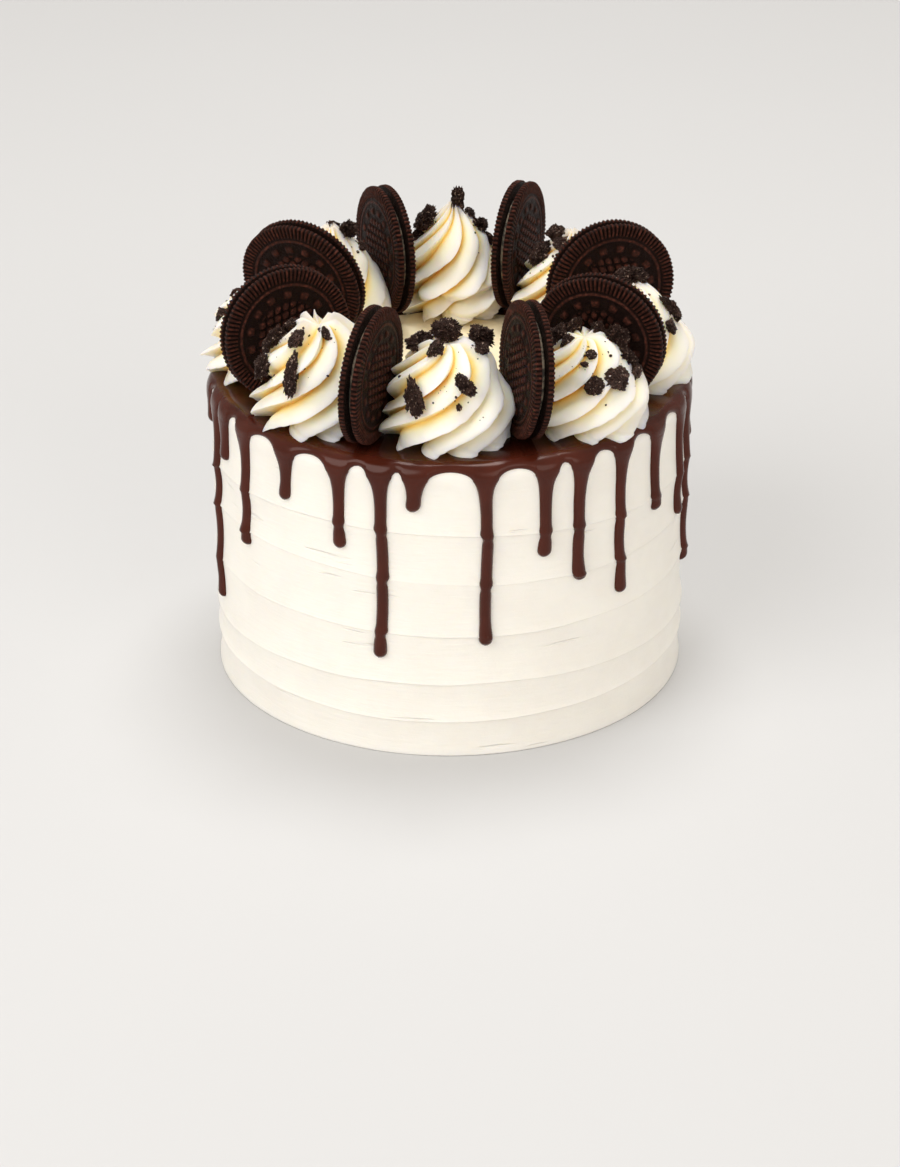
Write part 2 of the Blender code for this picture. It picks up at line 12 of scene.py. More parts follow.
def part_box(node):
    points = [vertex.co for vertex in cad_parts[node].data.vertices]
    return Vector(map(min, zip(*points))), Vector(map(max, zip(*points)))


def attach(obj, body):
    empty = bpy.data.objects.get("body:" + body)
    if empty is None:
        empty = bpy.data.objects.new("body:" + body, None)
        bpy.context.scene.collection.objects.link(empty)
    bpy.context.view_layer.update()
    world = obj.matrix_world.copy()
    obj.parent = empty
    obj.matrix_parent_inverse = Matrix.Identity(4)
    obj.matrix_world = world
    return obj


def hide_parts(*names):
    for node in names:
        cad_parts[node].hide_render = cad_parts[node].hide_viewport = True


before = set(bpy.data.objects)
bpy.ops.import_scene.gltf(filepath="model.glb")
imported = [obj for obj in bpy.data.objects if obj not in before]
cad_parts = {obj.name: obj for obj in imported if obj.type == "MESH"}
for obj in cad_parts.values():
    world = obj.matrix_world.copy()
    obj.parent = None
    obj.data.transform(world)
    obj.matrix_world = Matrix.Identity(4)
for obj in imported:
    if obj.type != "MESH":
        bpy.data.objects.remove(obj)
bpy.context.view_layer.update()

bl_info = {
    "name": "Cookies and cream drip cake",
    "version": (1, 0, 0),
    "blender": (4, 5, 0),
    "location": "View3D > Sidebar > Cake",
    "description": "Frosted drip cake with piped swirls, sandwich cookies and broken cookie pieces",
    "category": "Object",
}

MM = 0.001

# Frosted body, in metres
CAKE_RADIUS = 80.0 * MM
CAKE_HEIGHT = 104.0 * MM
RIM_ROUNDING = 3.5 * MM
SCOOP_DEPTH = 0.7 * MM
RIM_RADIUS = CAKE_RADIUS + 0.5 * SCOOP_DEPTH
FLAT_RADIUS = RIM_RADIUS - RIM_ROUNDING
SHOULDER_START = CAKE_HEIGHT - RIM_ROUNDING
SHOULDER_LENGTH = RIM_ROUNDING * math.pi / 2
BODY_COLUMNS = 560
RIM_STEPS = 6
TOP_STEPS = 26
TOP_DIP = 0.12 * MM
# Where the rows of one band lie between its two edges
BAND_ROWS = (
    0.0, 0.02, 0.05, 0.1, 0.17, 0.26, 0.37, 0.5,
    0.63, 0.74, 0.83, 0.9, 0.945, 0.97, 0.985, 0.996,
)
# Each ridge of the scraped side: height, wave, and bearing of the wave in degrees
RIDGES = (
    (13.0 * MM, 0.6 * MM, 20.0),
    (24.6 * MM, 2.0 * MM, 90.0),
    (43.8 * MM, 0.5 * MM, 120.0),
    (63.3 * MM, 2.0 * MM, 140.0),
    (79.0 * MM, 2.2 * MM, 115.0),
)

# Ganache
GAP = 0.3 * MM
COLLAR_INNER_RADIUS = 52.0 * MM
COLLAR_THICKNESS = 1.6 * MM
DRIP_HALF_WIDTH = 2.05 * MM
BULB_HALF_WIDTH = 2.4 * MM
ROOT_HALF_WIDTH = 4.1 * MM
FLARE_LENGTH = 3.4 * MM
ROOT_DROP = 0.8 * MM
ARCH_RISE = 3.2 * MM
DRIP_COLUMNS = 11
COLLAR_ROWS = 9
RIM_ROWS = 14
COLUMN_SPACING = 0.8 * MM
ROW_SPACING = 0.75 * MM
EDGE_SPACING = 0.25 * MM
SWAY = 0.30 * MM
KINK = 0.25 * MM
EDGE_ROUNDING = 2.15 * MM
POUR_SUNK = 0.06 * MM
POUR_BACK = -0.7 * MM
# Each drip in front: bearing in degrees, and the height of its tip
FRONT_DRIPS = (
    (-175.5, 88.0 * MM), (-164.6, 29.4 * MM), (-157.6, 84.3 * MM), (-146.8, 60.0 * MM),
    (-131.5, 84.0 * MM), (-116.7, 72.4 * MM), (-106.3, 35.0 * MM), (-97.9, 88.7 * MM),
    (-81.8, 40.8 * MM), (-67.2, 70.2 * MM), (-58.0, 59.0 * MM), (-45.8, 48.8 * MM),
    (-32.6, 72.1 * MM), (-18.2, 62.4 * MM), (-8.4, 38.5 * MM), (0.6, 79.0 * MM),
)
BACK_DRIP_COUNT = 12
BACK_DRIP_LOW = 36.0 * MM
BACK_DRIP_HIGH = 88.0 * MM

# Sandwich cookies: bearing, distance from the middle, turn off the radius, and lean
COOKIE_RADIUS = 22.3 * MM
WAFER_THICKNESS = 2.1 * MM
FILLING_RADIUS = 19.0 * MM
FILLING_THICKNESS = 1.8 * MM
COOKIE_HALF = FILLING_THICKNESS / 2 + GAP + WAFER_THICKNESS
STANDING_HEIGHT = CAKE_HEIGHT + 1.9 * MM
COOKIES = (
    (-112.4, 65.8 * MM, 3.4, -2.4),
    (-66.6, 61.8 * MM, -9.3, -4.6),
    (-32.2, 57.6 * MM, 13.4, 3.4),
    (17.6, 57.0 * MM, 1.0, 0.4),
    (66.0, 59.0 * MM, 5.2, 0.0),
    (114.4, 54.0 * MM, -3.2, 0.8),
    (159.0, 53.0 * MM, -5.6, -9.7),
    (-155.0, 59.4 * MM, 1.2, 3.1),
)

# Rings of a wafer from its inner side round the rim to the pattern: radius, the level it is measured from,
# how far above that, depth of the notches, height of the teeth, and how brightly it is painted for light and
# shade; lengths in mm
WAFER_RINGS = (
    (0.4, "inside", 0.0, 0.0, 0.0, 0.2),
    (12.0, "inside", 0.0, 0.0, 0.0, 0.2),
    (21.6, "inside", 0.0, 0.0, 0.0, 0.2),
    (22.05, "inside", 0.12, 0.20, 0.0, None),
    (22.3, "inside", 0.5, 0.40, 0.0, None),
    (22.3, "face", -0.75, 0.45, 0.0, None),
    (22.2, "face", -0.35, 0.50, 0.0, None),
    (21.8, "face", -0.36, 0.20, 0.30, None),
    (21.2, "face", -0.40, 0.0, 0.50, None),
    (19.8, "face", -0.40, 0.0, 0.52, None),
    (18.5, "face", -0.38, 0.0, 0.45, None),
    (18.1, "face", -0.34, 0.0, 0.10, 0.3),
    (17.5, "face", -0.34, 0.0, 0.0, 0.15),
    (17.2, "face", -0.10, 0.0, 0.0, 0.7),
    (16.9, "face", -0.02, 0.0, 0.0, 1.0),
    (16.5, "face", -0.10, 0.0, 0.0, 0.7),
    (16.2, "face", -0.34, 0.0, 0.0, 0.1),
)
PATTERN_RINGS = 30
PATTERN_RADIUS = 15.9
# Rings of a filling: radius in mm, and height as a share of half its thickness
FILLING_RINGS = (
    (0.5, -1.14), (17.2, -1.14), (17.9, -0.9), (18.1, 0.0), (17.9, 0.9), (17.2, 1.14), (0.5, 1.14),
)
FILLING_COLUMNS = 96

# Swirls: bearing, distance, height as a share of the usual, and slimness
SWIRL_RIDGES = 10
SWIRL_RADIUS = 22.6 * MM
SWIRL_HEIGHT = 35.0 * MM
SWIRL_TWIST = math.radians(150.0)
TWIST_BIAS = 1.15
SWIRL_PHASE = 1.7
RIDGE_CREST = 0.7
TIER_SWELL = 0.06
TIER_RISE = 15.0 * MM
RIDGE_STEPS = 24
BASE_SHARE = 0.1
BASE_ROWS = 10
SWIRL_ROWS = 80
SWIRLS = (
    (-90.7, 54.8 * MM, 0.94, 0.42),
    (-44.6, 60.8 * MM, 0.86, 0.45),
    (-6.5, 60.0 * MM, 0.96, 0.60),
    (43.5, 58.0 * MM, 0.98, 0.80),
    (89.0, 57.0 * MM, 1.09, 0.98),
    (135.5, 57.5 * MM, 1.02, 0.80),
    (-178.0, 60.5 * MM, 0.95, 0.60),
    (-135.0, 59.6 * MM, 0.98, 0.45),
)
SWIRL_OUTLINE = (
    (0.000, 0.62), (0.050, 0.84), (0.140, 0.97), (0.250, 0.985), (0.370, 0.925), (0.490, 0.825),
    (0.610, 0.68), (0.730, 0.515), (0.850, 0.31), (0.950, 0.12), (1.000, 0.04),
)
# Share of a swirl's height below which the ridges end in teeth
TEETH_SHARE = 0.16
# How far the crest tips of each swirl stand up round its peak
CROWN_TIPS = (2.0 * MM, 1.4 * MM, 2.0 * MM, 2.0 * MM, 2.2 * MM, 2.0 * MM, 2.0 * MM, 4.2 * MM)
# The swirl with a notch between its two coils
TWO_COILS = 4
SLOPE_STEP = 0.04
SLOPE_LIMIT = 0.9
UPRIGHT_FROM = 0.985
# Cookies and swirls nearer than this hold a swirl back
NEAR_COOKIE = 40.0 * MM
NEAR_SWIRL = 60.0 * MM
# The broken pieces' true size as a share of the sizes listed
PIECE_SCALE = 1.14
PIECE_ROUGHNESS = 0.52
LUMP_ROUGHNESS = 0.46
CRUMB_ROUGHNESS = 0.25
# Edges sharper than this many degrees stay crisp on broken cookie
CRISP_ANGLE = 24.0
BROKEN_PLANES = 11
PLANE_POWER = 14

# Broken cookie: swirl, bearing round it, share of its height, length, width, thickness, roll
PIECES = (
    (1, -123, 0.64, 13.0, 6.0, 3.8, 32), (1, 146, 0.90, 12.0, 5.5, 5.4, 84),
    (1, 110, 1.07, 9.5, 8.0, 6.5, 75), (1, 22, 0.95, 10.0, 7.0, 6.5, 20),
    (1, -72, 0.74, 8.4, 5.0, 3.8, 30), (2, 172, 0.93, 10.5, 6.0, 5.4, 75),
    (2, 12, 0.92, 8.5, 7.5, 5.6, 50), (2, -6, 0.72, 9.0, 6.5, 5.0, 20),
    (3, 120, 1.06, 11.0, 8.0, 6.5, 75), (3, -14, 0.77, 10.0, 4.8, 4.2, 8),
    (4, -167, 0.76, 9.0, 7.0, 4.6, 40), (5, 176, 0.80, 10.0, 8.0, 5.4, 35),
    (5, 6, 0.75, 9.0, 6.5, 4.8, 60), (5, 8, 1.02, 9.4, 5.2, 4.6, 5),
    (6, 6, 0.92, 10.0, 6.0, 5.4, 70), (8, -118, 0.66, 14.5, 4.6, 3.6, 6),
    (8, -160, 0.63, 8.5, 7.5, 4.4, 35), (8, 179, 0.83, 8.0, 6.0, 5.0, 15),
)
# Smaller lumps that lie between the pieces: swirl, bearing, share of the height, and length
LUMPS = (
    (1, -10, 0.93, 5.5), (1, -117, 0.97, 6.5), (1, -77, 0.53, 2.2), (1, 150, 0.95, 5.0),
    (8, -131, 0.90, 6.5), (8, -68, 0.97, 4.8), (8, 168, 0.93, 5.5), (8, 172, 0.74, 5.5),
    (8, 120, 0.70, 4.0), (2, -80, 0.91, 3.4), (2, -91, 0.84, 2.8), (2, -49, 0.64, 8.6),
    (2, -79, 0.62, 6.0), (2, -12, 0.60, 6.0), (2, 120, 1.00, 7.5), (2, -150, 0.97, 5.0),
    (2, 45, 1.00, 6.0), (3, 60, 0.96, 6.0), (3, -33, 0.65, 5.5), (3, 4, 0.68, 6.0),
    (3, 84, 0.70, 4.0), (3, 150, 0.98, 5.5), (5, 178, 0.66, 6.5), (5, -2, 0.65, 5.0),
    (5, 20, 0.86, 5.0), (5, 105, 0.62, 5.0), (4, 175, 0.93, 6.5), (4, -129, 0.90, 5.5),
    (4, 163, 0.82, 4.0), (4, 70, 0.74, 4.5), (6, 60, 0.97, 5.5), (6, -5, 0.80, 4.5),
    (6, 100, 0.92, 4.0), (6, 150, 0.66, 4.5), (7, -170, 0.65, 5.5), (7, 150, 0.78, 4.0),
    (7, 100, 0.60, 4.5),
)


class CakeSizes(bpy.types.PropertyGroup):
    ridge_burr: FloatProperty(
        name="Ridge burr", description="How far the scraped ridges stand out",
        default=0.38 * MM, min=0.0, unit="LENGTH")
    drip_thickness: FloatProperty(
        name="Drip thickness", description="Thickness of the ganache drips",
        default=2.15 * MM, min=0.0, unit="LENGTH")
    ridge_cut: FloatProperty(
        name="Ridge cut", description="Depth of the creases in the swirls, as a share of the radius",
        default=0.30, min=0.0, max=0.6, subtype="FACTOR")
    edge_ridges: IntProperty(
        name="Edge ridges", description="Short ridges round the rim of each wafer",
        default=90, min=12)
    crumb_count: IntProperty(
        name="Crumbs", description="Fine crumbs on each swirl",
        default=60, min=0)


class CakeColours(bpy.types.PropertyGroup):
    frosting: FloatVectorProperty(
        name="Frosting", description="White buttercream on the side and top",
        default=(0.93, 0.895, 0.825), subtype="COLOR", size=3, min=0.0, max=1.0)
    piped: FloatVectorProperty(
        name="Piped cream", description="Crests of the piped swirls",
        default=(0.98, 0.895, 0.77), subtype="COLOR", size=3, min=0.0, max=1.0)
    # Painted shade and bounce light in the creases of the piped swirls, not the cream's own colour
    crease: FloatVectorProperty(
        name="Piped creases", description="Creases of the piped swirls",
        default=(1.0, 0.66, 0.14), subtype="COLOR", size=3, min=0.0, max=1.0)
    ganache: FloatVectorProperty(
        name="Ganache", description="Poured dark chocolate",
        default=(0.064, 0.0115, 0.0052), subtype="COLOR", size=3, min=0.0, max=1.0)
    wafer: FloatVectorProperty(
        name="Wafer", description="Dark cocoa biscuit",
        default=(0.027, 0.0078, 0.0050), subtype="COLOR", size=3, min=0.0, max=1.0)
    filling: FloatVectorProperty(
        name="Filling", description="Vanilla cream between the wafers",
        default=(0.72, 0.68, 0.58), subtype="COLOR", size=3, min=0.0, max=1.0)


def sizes():
    return bpy.context.scene.cake_sizes


def colours():
    return bpy.context.scene.cake_colours


# Shared mesh helpers

def mix(low, high, share):
    return low + (high - low) * share


def polar(bearing, radius, height):
    return np.stack([radius * np.cos(bearing), radius * np.sin(bearing),
                     height + 0.0 * radius * bearing], axis=-1)


def wobble(angle, seed, waves=9, first=1):
    """Smooth uneven values round a circle, about -1 to 1."""
    rng = random.Random(seed)
    total = np.zeros_like(angle)
    for wave in range(first, first + waves):
        total = total + rng.uniform(0.4, 1.0) * np.cos(wave * angle + rng.uniform(0, 2 * math.pi))
    return total / math.sqrt(waves)


def new_piece(name, points, faces, finish, replaced=(), smooth_angle=None):
    mesh = bpy.data.meshes.new(name)
    points = np.asarray(points, float)
    mesh.from_pydata(points.tolist(), [], faces)
    mesh.validate()
    made = bpy.data.objects.new(name, mesh)
    bpy.context.scene.collection.objects.link(made)
    mesh.materials.append(finish)
    mesh.shade_smooth()
    if smooth_angle is not None:
        mesh.set_sharp_from_angle(angle=math.radians(smooth_angle))
    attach(made, "root")
    if replaced:
        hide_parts(*replaced)
    return made


def add_values(item, name, values):
    """Store one value for each point of a mesh, for its material to read."""
    layer = item.data.attributes.new(name, "FLOAT", "POINT")
    layer.data.foreach_set("value", np.asarray(values, np.float32).ravel())


def grid_faces(rows, columns, closed=True, start=0):
    faces = []
    last = columns if closed else columns - 1
    for row in range(rows - 1):
        low = start + row * columns
        for column in range(last):
            beside = (column + 1) % columns
            faces.append((low + column, low + beside, low + columns + beside, low + columns + column))
    return faces


# Frosted body

def band_edges(bearing):
    """Heights where the scraped bands meet, for each bearing, from the base to the shoulder."""
    edges = [np.zeros_like(bearing)]
    for number, (height, wave, turn) in enumerate(RIDGES):
        edges.append(height + wave * np.cos(2 * (bearing + math.radians(turn)))
                     + 0.25 * MM * wobble(bearing, 40 + number, 14, 3))
    edges.append(np.full_like(bearing, SHOULDER_START))
    return edges


def side_radius(bearing, height):
    edges = band_edges(bearing)
    radius = np.full_like(bearing, RIM_RADIUS)
    burr = sizes().ridge_burr
    for band, (low, high) in enumerate(zip(edges, edges[1:])):
        share = np.clip((height - low) / (high - low), 0.0, 1.0)
        depth = SCOOP_DEPTH * (1.0 + 0.12 * wobble(bearing, 60 + band, 6))
        level = CAKE_RADIUS + depth * ((2 * share - 1) ** 2 - 0.5)
        strength = np.clip(0.62 + 0.5 * wobble(bearing, 80 + band, 7), 0.12, 1.5)
        if band > 0:
            level = level + burr * strength * np.exp(-(height - low).clip(0) / (0.55 * MM))
        if band < len(edges) - 2:
            above = np.clip(0.62 + 0.5 * wobble(bearing, 81 + band, 7), 0.12, 1.5)
            level = level - 0.9 * burr * above * np.exp(-(high - height).clip(0) / (0.9 * MM))
        radius = np.where((height >= low) & (height <= high), level, radius)
    fade = np.clip((SHOULDER_START - height) / (4 * MM), 0.0, 1.0)
    return mix(RIM_RADIUS, radius, fade) + 0.12 * MM * wobble(bearing, 5, 5, 2) * fade


class CAKE_OT_frosted_body(bpy.types.Operator):
    """Build the frosted cake with its scraped bands"""
    bl_idname = "cake.frosted_body"
    bl_label = "Frosted body"

    def execute(self, context):
        columns = BODY_COLUMNS
        bearing = np.linspace(0, 2 * math.pi, columns, endpoint=False)
        edges = band_edges(bearing)
        rows = []
        for low, high in zip(edges, edges[1:]):
            for share in BAND_ROWS:
                height = mix(low, high, share)
                rows.append(polar(bearing, side_radius(bearing, height), height))
        for step in range(RIM_STEPS + 1):
            angle = math.pi / 2 * step / RIM_STEPS
            radius = FLAT_RADIUS + RIM_ROUNDING * math.cos(angle) + 0 * bearing
            rows.append(polar(bearing, radius, SHOULDER_START + RIM_ROUNDING * math.sin(angle)))
        for step in range(1, TOP_STEPS):
            radius = FLAT_RADIUS * (1 - step / TOP_STEPS) + 0 * bearing
            sweep = TOP_DIP * np.sin(radius / (5.5 * MM) + 1.2 * np.sin(bearing * 2))
            rows.append(polar(bearing, radius, CAKE_HEIGHT - TOP_DIP + sweep * min(1.0, step / 3)))
        points = np.concatenate(rows)
        faces = grid_faces(len(rows), columns)
        faces.append(list(range(columns))[::-1])
        top = (len(rows) - 1) * columns
        faces.append([top + column for column in range(columns)])
        new_piece("frosted_body", points, faces, frosting_finish(), ["frosted_cake"])
        return {"FINISHED"}


# Ganache

def skin_points(bearing, along, lift):
    """Points over the frosting: along runs outwards over the top, round the rim and down."""
    angle = np.clip(along / RIM_ROUNDING, 0.0, math.pi / 2)
    height = np.where(along < SHOULDER_LENGTH, SHOULDER_START,
                      SHOULDER_START - (along - SHOULDER_LENGTH))
    side = side_radius(bearing, height)
    radius = np.where(along < SHOULDER_LENGTH,
                      FLAT_RADIUS + np.minimum(along, 0.0) + (RIM_ROUNDING + lift) * np.sin(angle),
                      side + lift)
    level = np.where(along < SHOULDER_LENGTH,
                     SHOULDER_START + (RIM_ROUNDING + lift) * np.cos(angle), height)
    return polar(bearing, radius, level)


def along_at(height):
    return SHOULDER_LENGTH + SHOULDER_START - height


def all_drips():
    """Bearing in radians, tip as a length along the skin, and size of every drip."""
    rng = random.Random(7)
    drips = [(math.radians(turn), height) for turn, height in FRONT_DRIPS]
    first = FRONT_DRIPS[-1][0]
    span = FRONT_DRIPS[0][0] + 360.0 - first
    for step in range(1, BACK_DRIP_COUNT + 1):
        turn = first + span * step / (BACK_DRIP_COUNT + 1) + rng.uniform(-1.6, 1.6)
        share = 0.08
        if step % 3 != 1:
            share = rng.uniform(0.35, 1.0)
        drips.append((math.radians(turn), mix(BACK_DRIP_LOW, BACK_DRIP_HIGH, share)))
    drips = sorted(((bearing + math.pi) % (2 * math.pi) - math.pi, height) for bearing, height in drips)
    return [(bearing, along_at(height), rng.uniform(0.93, 1.07)) for bearing, height in drips]


def bump_at(along, centre, reach):
    return math.exp(-((along - centre) / reach) ** 2)


def drip_half_width(along, root, tip, size, ridges):
    stem = DRIP_HALF_WIDTH * size
    bulb = BULB_HALF_WIDTH * size
    width = stem + (ROOT_HALF_WIDTH - stem) * math.exp(-(along - root) / FLARE_LENGTH)
    swell = min(1.0, max(0.0, 1.0 - (tip - bulb - along) / (3.0 * bulb)))
    width = max(width, mix(stem, bulb, swell * swell * (3 - 2 * swell)))
    for ridge in ridges:
        if root + 6 * MM < ridge < tip - 4 * MM:
            width *= 1.0 + 0.15 * bump_at(along, ridge - 0.8 * MM, 1.3 * MM)
            width *= 1.0 - 0.13 * bump_at(along, ridge + 1.3 * MM, 1.2 * MM)
    past = max(0.0, along - (tip - bulb)) / bulb
    return width * math.sqrt(max(0.0, 1.0 - past ** 2))


def across_place(step):
    """Place of one point across a drip, -1 to 1; the points stand closer at its edges."""
    return math.sin(math.pi / 2 * (2 * step / (DRIP_COLUMNS - 1) - 1))


def collar_columns(drips, root):
    """Bearing and lower end of each column of the collar, and the drip and step that hang from it."""
    half_turn = ROOT_HALF_WIDTH / RIM_RADIUS
    columns = []
    for index, (bearing, _, _) in enumerate(drips):
        for step in range(DRIP_COLUMNS):
            columns.append((bearing + across_place(step) * half_turn, root, (index, step)))
        following = drips[(index + 1) % len(drips)][0]
        if following < bearing:
            following += 2 * math.pi
        start, stop = bearing + half_turn, following - half_turn
        count = max(5, round((stop - start) * RIM_RADIUS / COLUMN_SPACING))
        for step in range(1, count):
            share = 0.5 - 0.5 * math.cos(math.pi * step / count)
            rise = ARCH_RISE * math.sin(math.pi * share) ** 0.5
            rise *= min(1.0, 0.55 + (stop - start) * RIM_RADIUS / (16 * MM))
            columns.append((mix(start, stop, share), root - rise, None))
    return columns


def collar_sheet(columns):
    """Places on the skin, quads, and the place where each drip's points hang on, of the collar."""
    inner = COLLAR_INNER_RADIUS - FLAT_RADIUS
    sheet = [inner * (1 - step / COLLAR_ROWS) for step in range(COLLAR_ROWS)]
    turns = np.array([column[0] for column in columns])
    ragged = 0.6 * MM * wobble(turns, 21, 12, 3)
    places = []
    for index, (bearing, edge, _) in enumerate(columns):
        for step, along in enumerate(sheet):
            places.append((bearing, along + (ragged[index] if step == 0 else 0.0)))
        for step in range(RIM_ROWS):
            share = math.sin(math.pi / 2 * step / (RIM_ROWS - 1))
            places.append((bearing, edge * share))
    rows = COLLAR_ROWS + RIM_ROWS
    quads = []
    for index in range(len(columns)):
        here, beside = index * rows, (index + 1) % len(columns) * rows
        for row in range(rows - 1):
            quads.append((here + row, beside + row, beside + row + 1, here + row + 1))
    roots = {owner: index * rows + rows - 1 for index, (_, _, owner) in enumerate(columns) if owner}
    return places, quads, roots


def hang_drip(index, drip, root, roots, places, quads):
    """Add the places and quads of one drip below the collar."""
    bearing, tip, size = drip
    rng = random.Random(300 + index)
    ridges = [along_at(float(edge[0])) for edge in band_edges(np.array([bearing]))[1:-1]]
    above = [roots[(index, step)] for step in range(DRIP_COLUMNS)]
    bulb = BULB_HALF_WIDTH * size
    count = max(8, round((tip - bulb - root) / ROW_SPACING))
    line_places = [mix(root, tip - bulb, (step + 1) / count) for step in range(count)]
    line_places += [tip - bulb + bulb * math.sin(math.pi / 2 * step / 7) for step in range(1, 8)]
    lean = rng.uniform(-0.5, 0.5) * MM
    phase = rng.uniform(0, 6.28)
    for along in line_places:
        gone = along - root
        sway = SWAY * math.sin(gone / (9 * MM) + phase) - SWAY * math.sin(phase)
        sway += lean * gone / (50 * MM)
        for ridge in ridges:
            if root + 6 * MM < ridge:
                kink = math.tanh((along - ridge) / (0.7 * MM))
                sway += KINK * kink * math.sin(ridge * 9e3 + phase)
        sway *= min(1.0, gone / (12 * MM))
        width = drip_half_width(along, root, tip, size, ridges)
        line = []
        for step in range(DRIP_COLUMNS):
            offset = across_place(step) * max(width, 0.02 * MM) + sway
            places.append((bearing + offset / RIM_RADIUS, along))
            line.append(len(places) - 1)
        for step in range(DRIP_COLUMNS - 1):
            quads.append((above[step], above[step + 1], line[step + 1], line[step]))
        above = line


def open_edges(quads):
    """The edges that belong to one quad alone."""
    seen = set()
    for quad in quads:
        for start, stop in zip(quad, quad[1:] + quad[:1]):
            seen.add((start, stop))
    return [pair for pair in seen if (pair[1], pair[0]) not in seen]


def distance_to_edge(skin, rim):
    """How far each point of the skin lies from the ganache's edge."""
    samples = []
    for start, stop in rim:
        a, b = skin[start], skin[stop]
        steps = max(1, int(np.linalg.norm(b - a) / EDGE_SPACING))
        samples.extend(mix(a, b, step / steps) for step in range(steps))
    tree = KDTree(len(samples))
    for number, place in enumerate(samples):
        tree.insert(place, number)
    tree.balance()
    away = np.array([tree.find(point)[2] for point in skin])
    away[np.unique(np.array(rim))] = 0.0
    return away


def pour_depth(drips, root, bearing, along, away):
    """Thickness of the ganache before its edge is rounded."""
    drip_depth = sizes().drip_thickness
    thick = np.interp(along, [-6 * MM, 0.0, SHOULDER_LENGTH, root + 4 * MM],
                      [COLLAR_THICKNESS, COLLAR_THICKNESS, 1.75 * MM, drip_depth])
    for turn, tip, _ in drips:
        near = np.abs(bearing - turn) * RIM_RADIUS < 4 * MM
        swell = np.clip(1 - np.abs(along - (tip - 2.2 * MM)) / (5 * MM), 0, 1)
        thick = np.where(near & (along > root), thick * (1 + 0.16 * swell), thick)
    lip = np.clip(away / EDGE_ROUNDING, 0.0, 1.0)
    return thick * np.sqrt(1 - (1 - lip) ** 2)


class CAKE_OT_ganache(bpy.types.Operator):
    """Build the poured ganache with its drips"""
    bl_idname = "cake.ganache"
    bl_label = "Ganache"

    def execute(self, context):
        drips = all_drips()
        root = SHOULDER_LENGTH + ROOT_DROP
        places, quads, roots = collar_sheet(collar_columns(drips, root))
        for index, drip in enumerate(drips):
            hang_drip(index, drip, root, roots, places, quads)

        bearing, along = np.array(places).T
        rim = open_edges(quads)
        away = distance_to_edge(skin_points(bearing, along, np.zeros_like(along)), rim)
        depth = pour_depth(drips, root, bearing, along, away)
        depth = smooth_values(depth, quads, 3, away > 0.3 * MM)
        depth += 0.05 * MM * np.sin(bearing * 41 + along * 300) * np.clip(away / MM, 0, 1)

        outer = skin_points(bearing, along, depth - POUR_SUNK)
        back = skin_points(bearing, along, np.full_like(along, POUR_BACK))
        points = np.concatenate([outer, back])
        shift = len(places)
        faces = list(quads)
        faces += [tuple(corner + shift for corner in reversed(quad)) for quad in quads]
        faces += [(stop, start, start + shift, stop + shift) for start, stop in rim]
        new_piece("ganache_pour", points, faces, ganache_finish(), ["ganache_drip"])
        return {"FINISHED"}


def smooth_values(values, quads, rounds, free):
    """Even out values between neighbouring points, only where free is true."""
    quads = np.array(quads)
    starts = quads.ravel()
    stops = np.roll(quads, -1, axis=1).ravel()
    size = len(values)
    count = np.bincount(starts, minlength=size) + np.bincount(stops, minlength=size)
    for _ in range(rounds):
        total = np.bincount(starts, values[stops], size) + np.bincount(stops, values[starts], size)
        values = np.where(free, mix(values, total / np.maximum(count, 1), 0.6), values)
    return values


# Cookies

def cookie_frame(place):
    """Matrix of one cookie: its local Z is the axis through both wafers."""
    turn, distance, swing, lean = place
    bearing = math.radians(turn)
    facing = bearing + math.pi / 2 + math.radians(swing)
    tip = math.radians(lean)
    axis = Vector((math.cos(facing) * math.cos(tip), math.sin(facing) * math.cos(tip), math.sin(tip)))
    level = Vector((-math.sin(facing), math.cos(facing), 0.0))
    matrix = Matrix((level, axis.cross(level), axis)).transposed().to_4x4()
    reach = COOKIE_RADIUS * math.cos(tip) + COOKIE_HALF * abs(math.sin(tip))
    matrix.translation = (distance * math.cos(bearing), distance * math.sin(bearing), STANDING_HEIGHT + reach)
    return matrix


def moved(points, matrix):
    turn = np.array(matrix.to_3x3())
    return points @ turn.T + np.array(matrix.translation)


def face_relief(bearing, distance):
    """Plain raised pattern, 0 to 1: a ring of beads round a lattice of lozenges; distance in mm."""
    bead = np.clip(np.cos(bearing * 14) * 1.6 + 0.1, 0, 1) * math.exp(-((distance - 13.6) / 1.1) ** 4)
    x, y = distance * np.cos(bearing), distance * np.sin(bearing)
    one_way = np.sin((0.42 * x + 0.30 * y) * math.pi / 1.4)
    other_way = np.sin((0.42 * x - 0.30 * y) * math.pi / 1.4)
    lattice = np.abs(one_way * other_way)
    inside = min(1.0, max(0.0, (11.4 - distance) / 0.5))
    return np.maximum(bead, np.clip((lattice - 0.22) * 3.2, 0, 1) * inside)


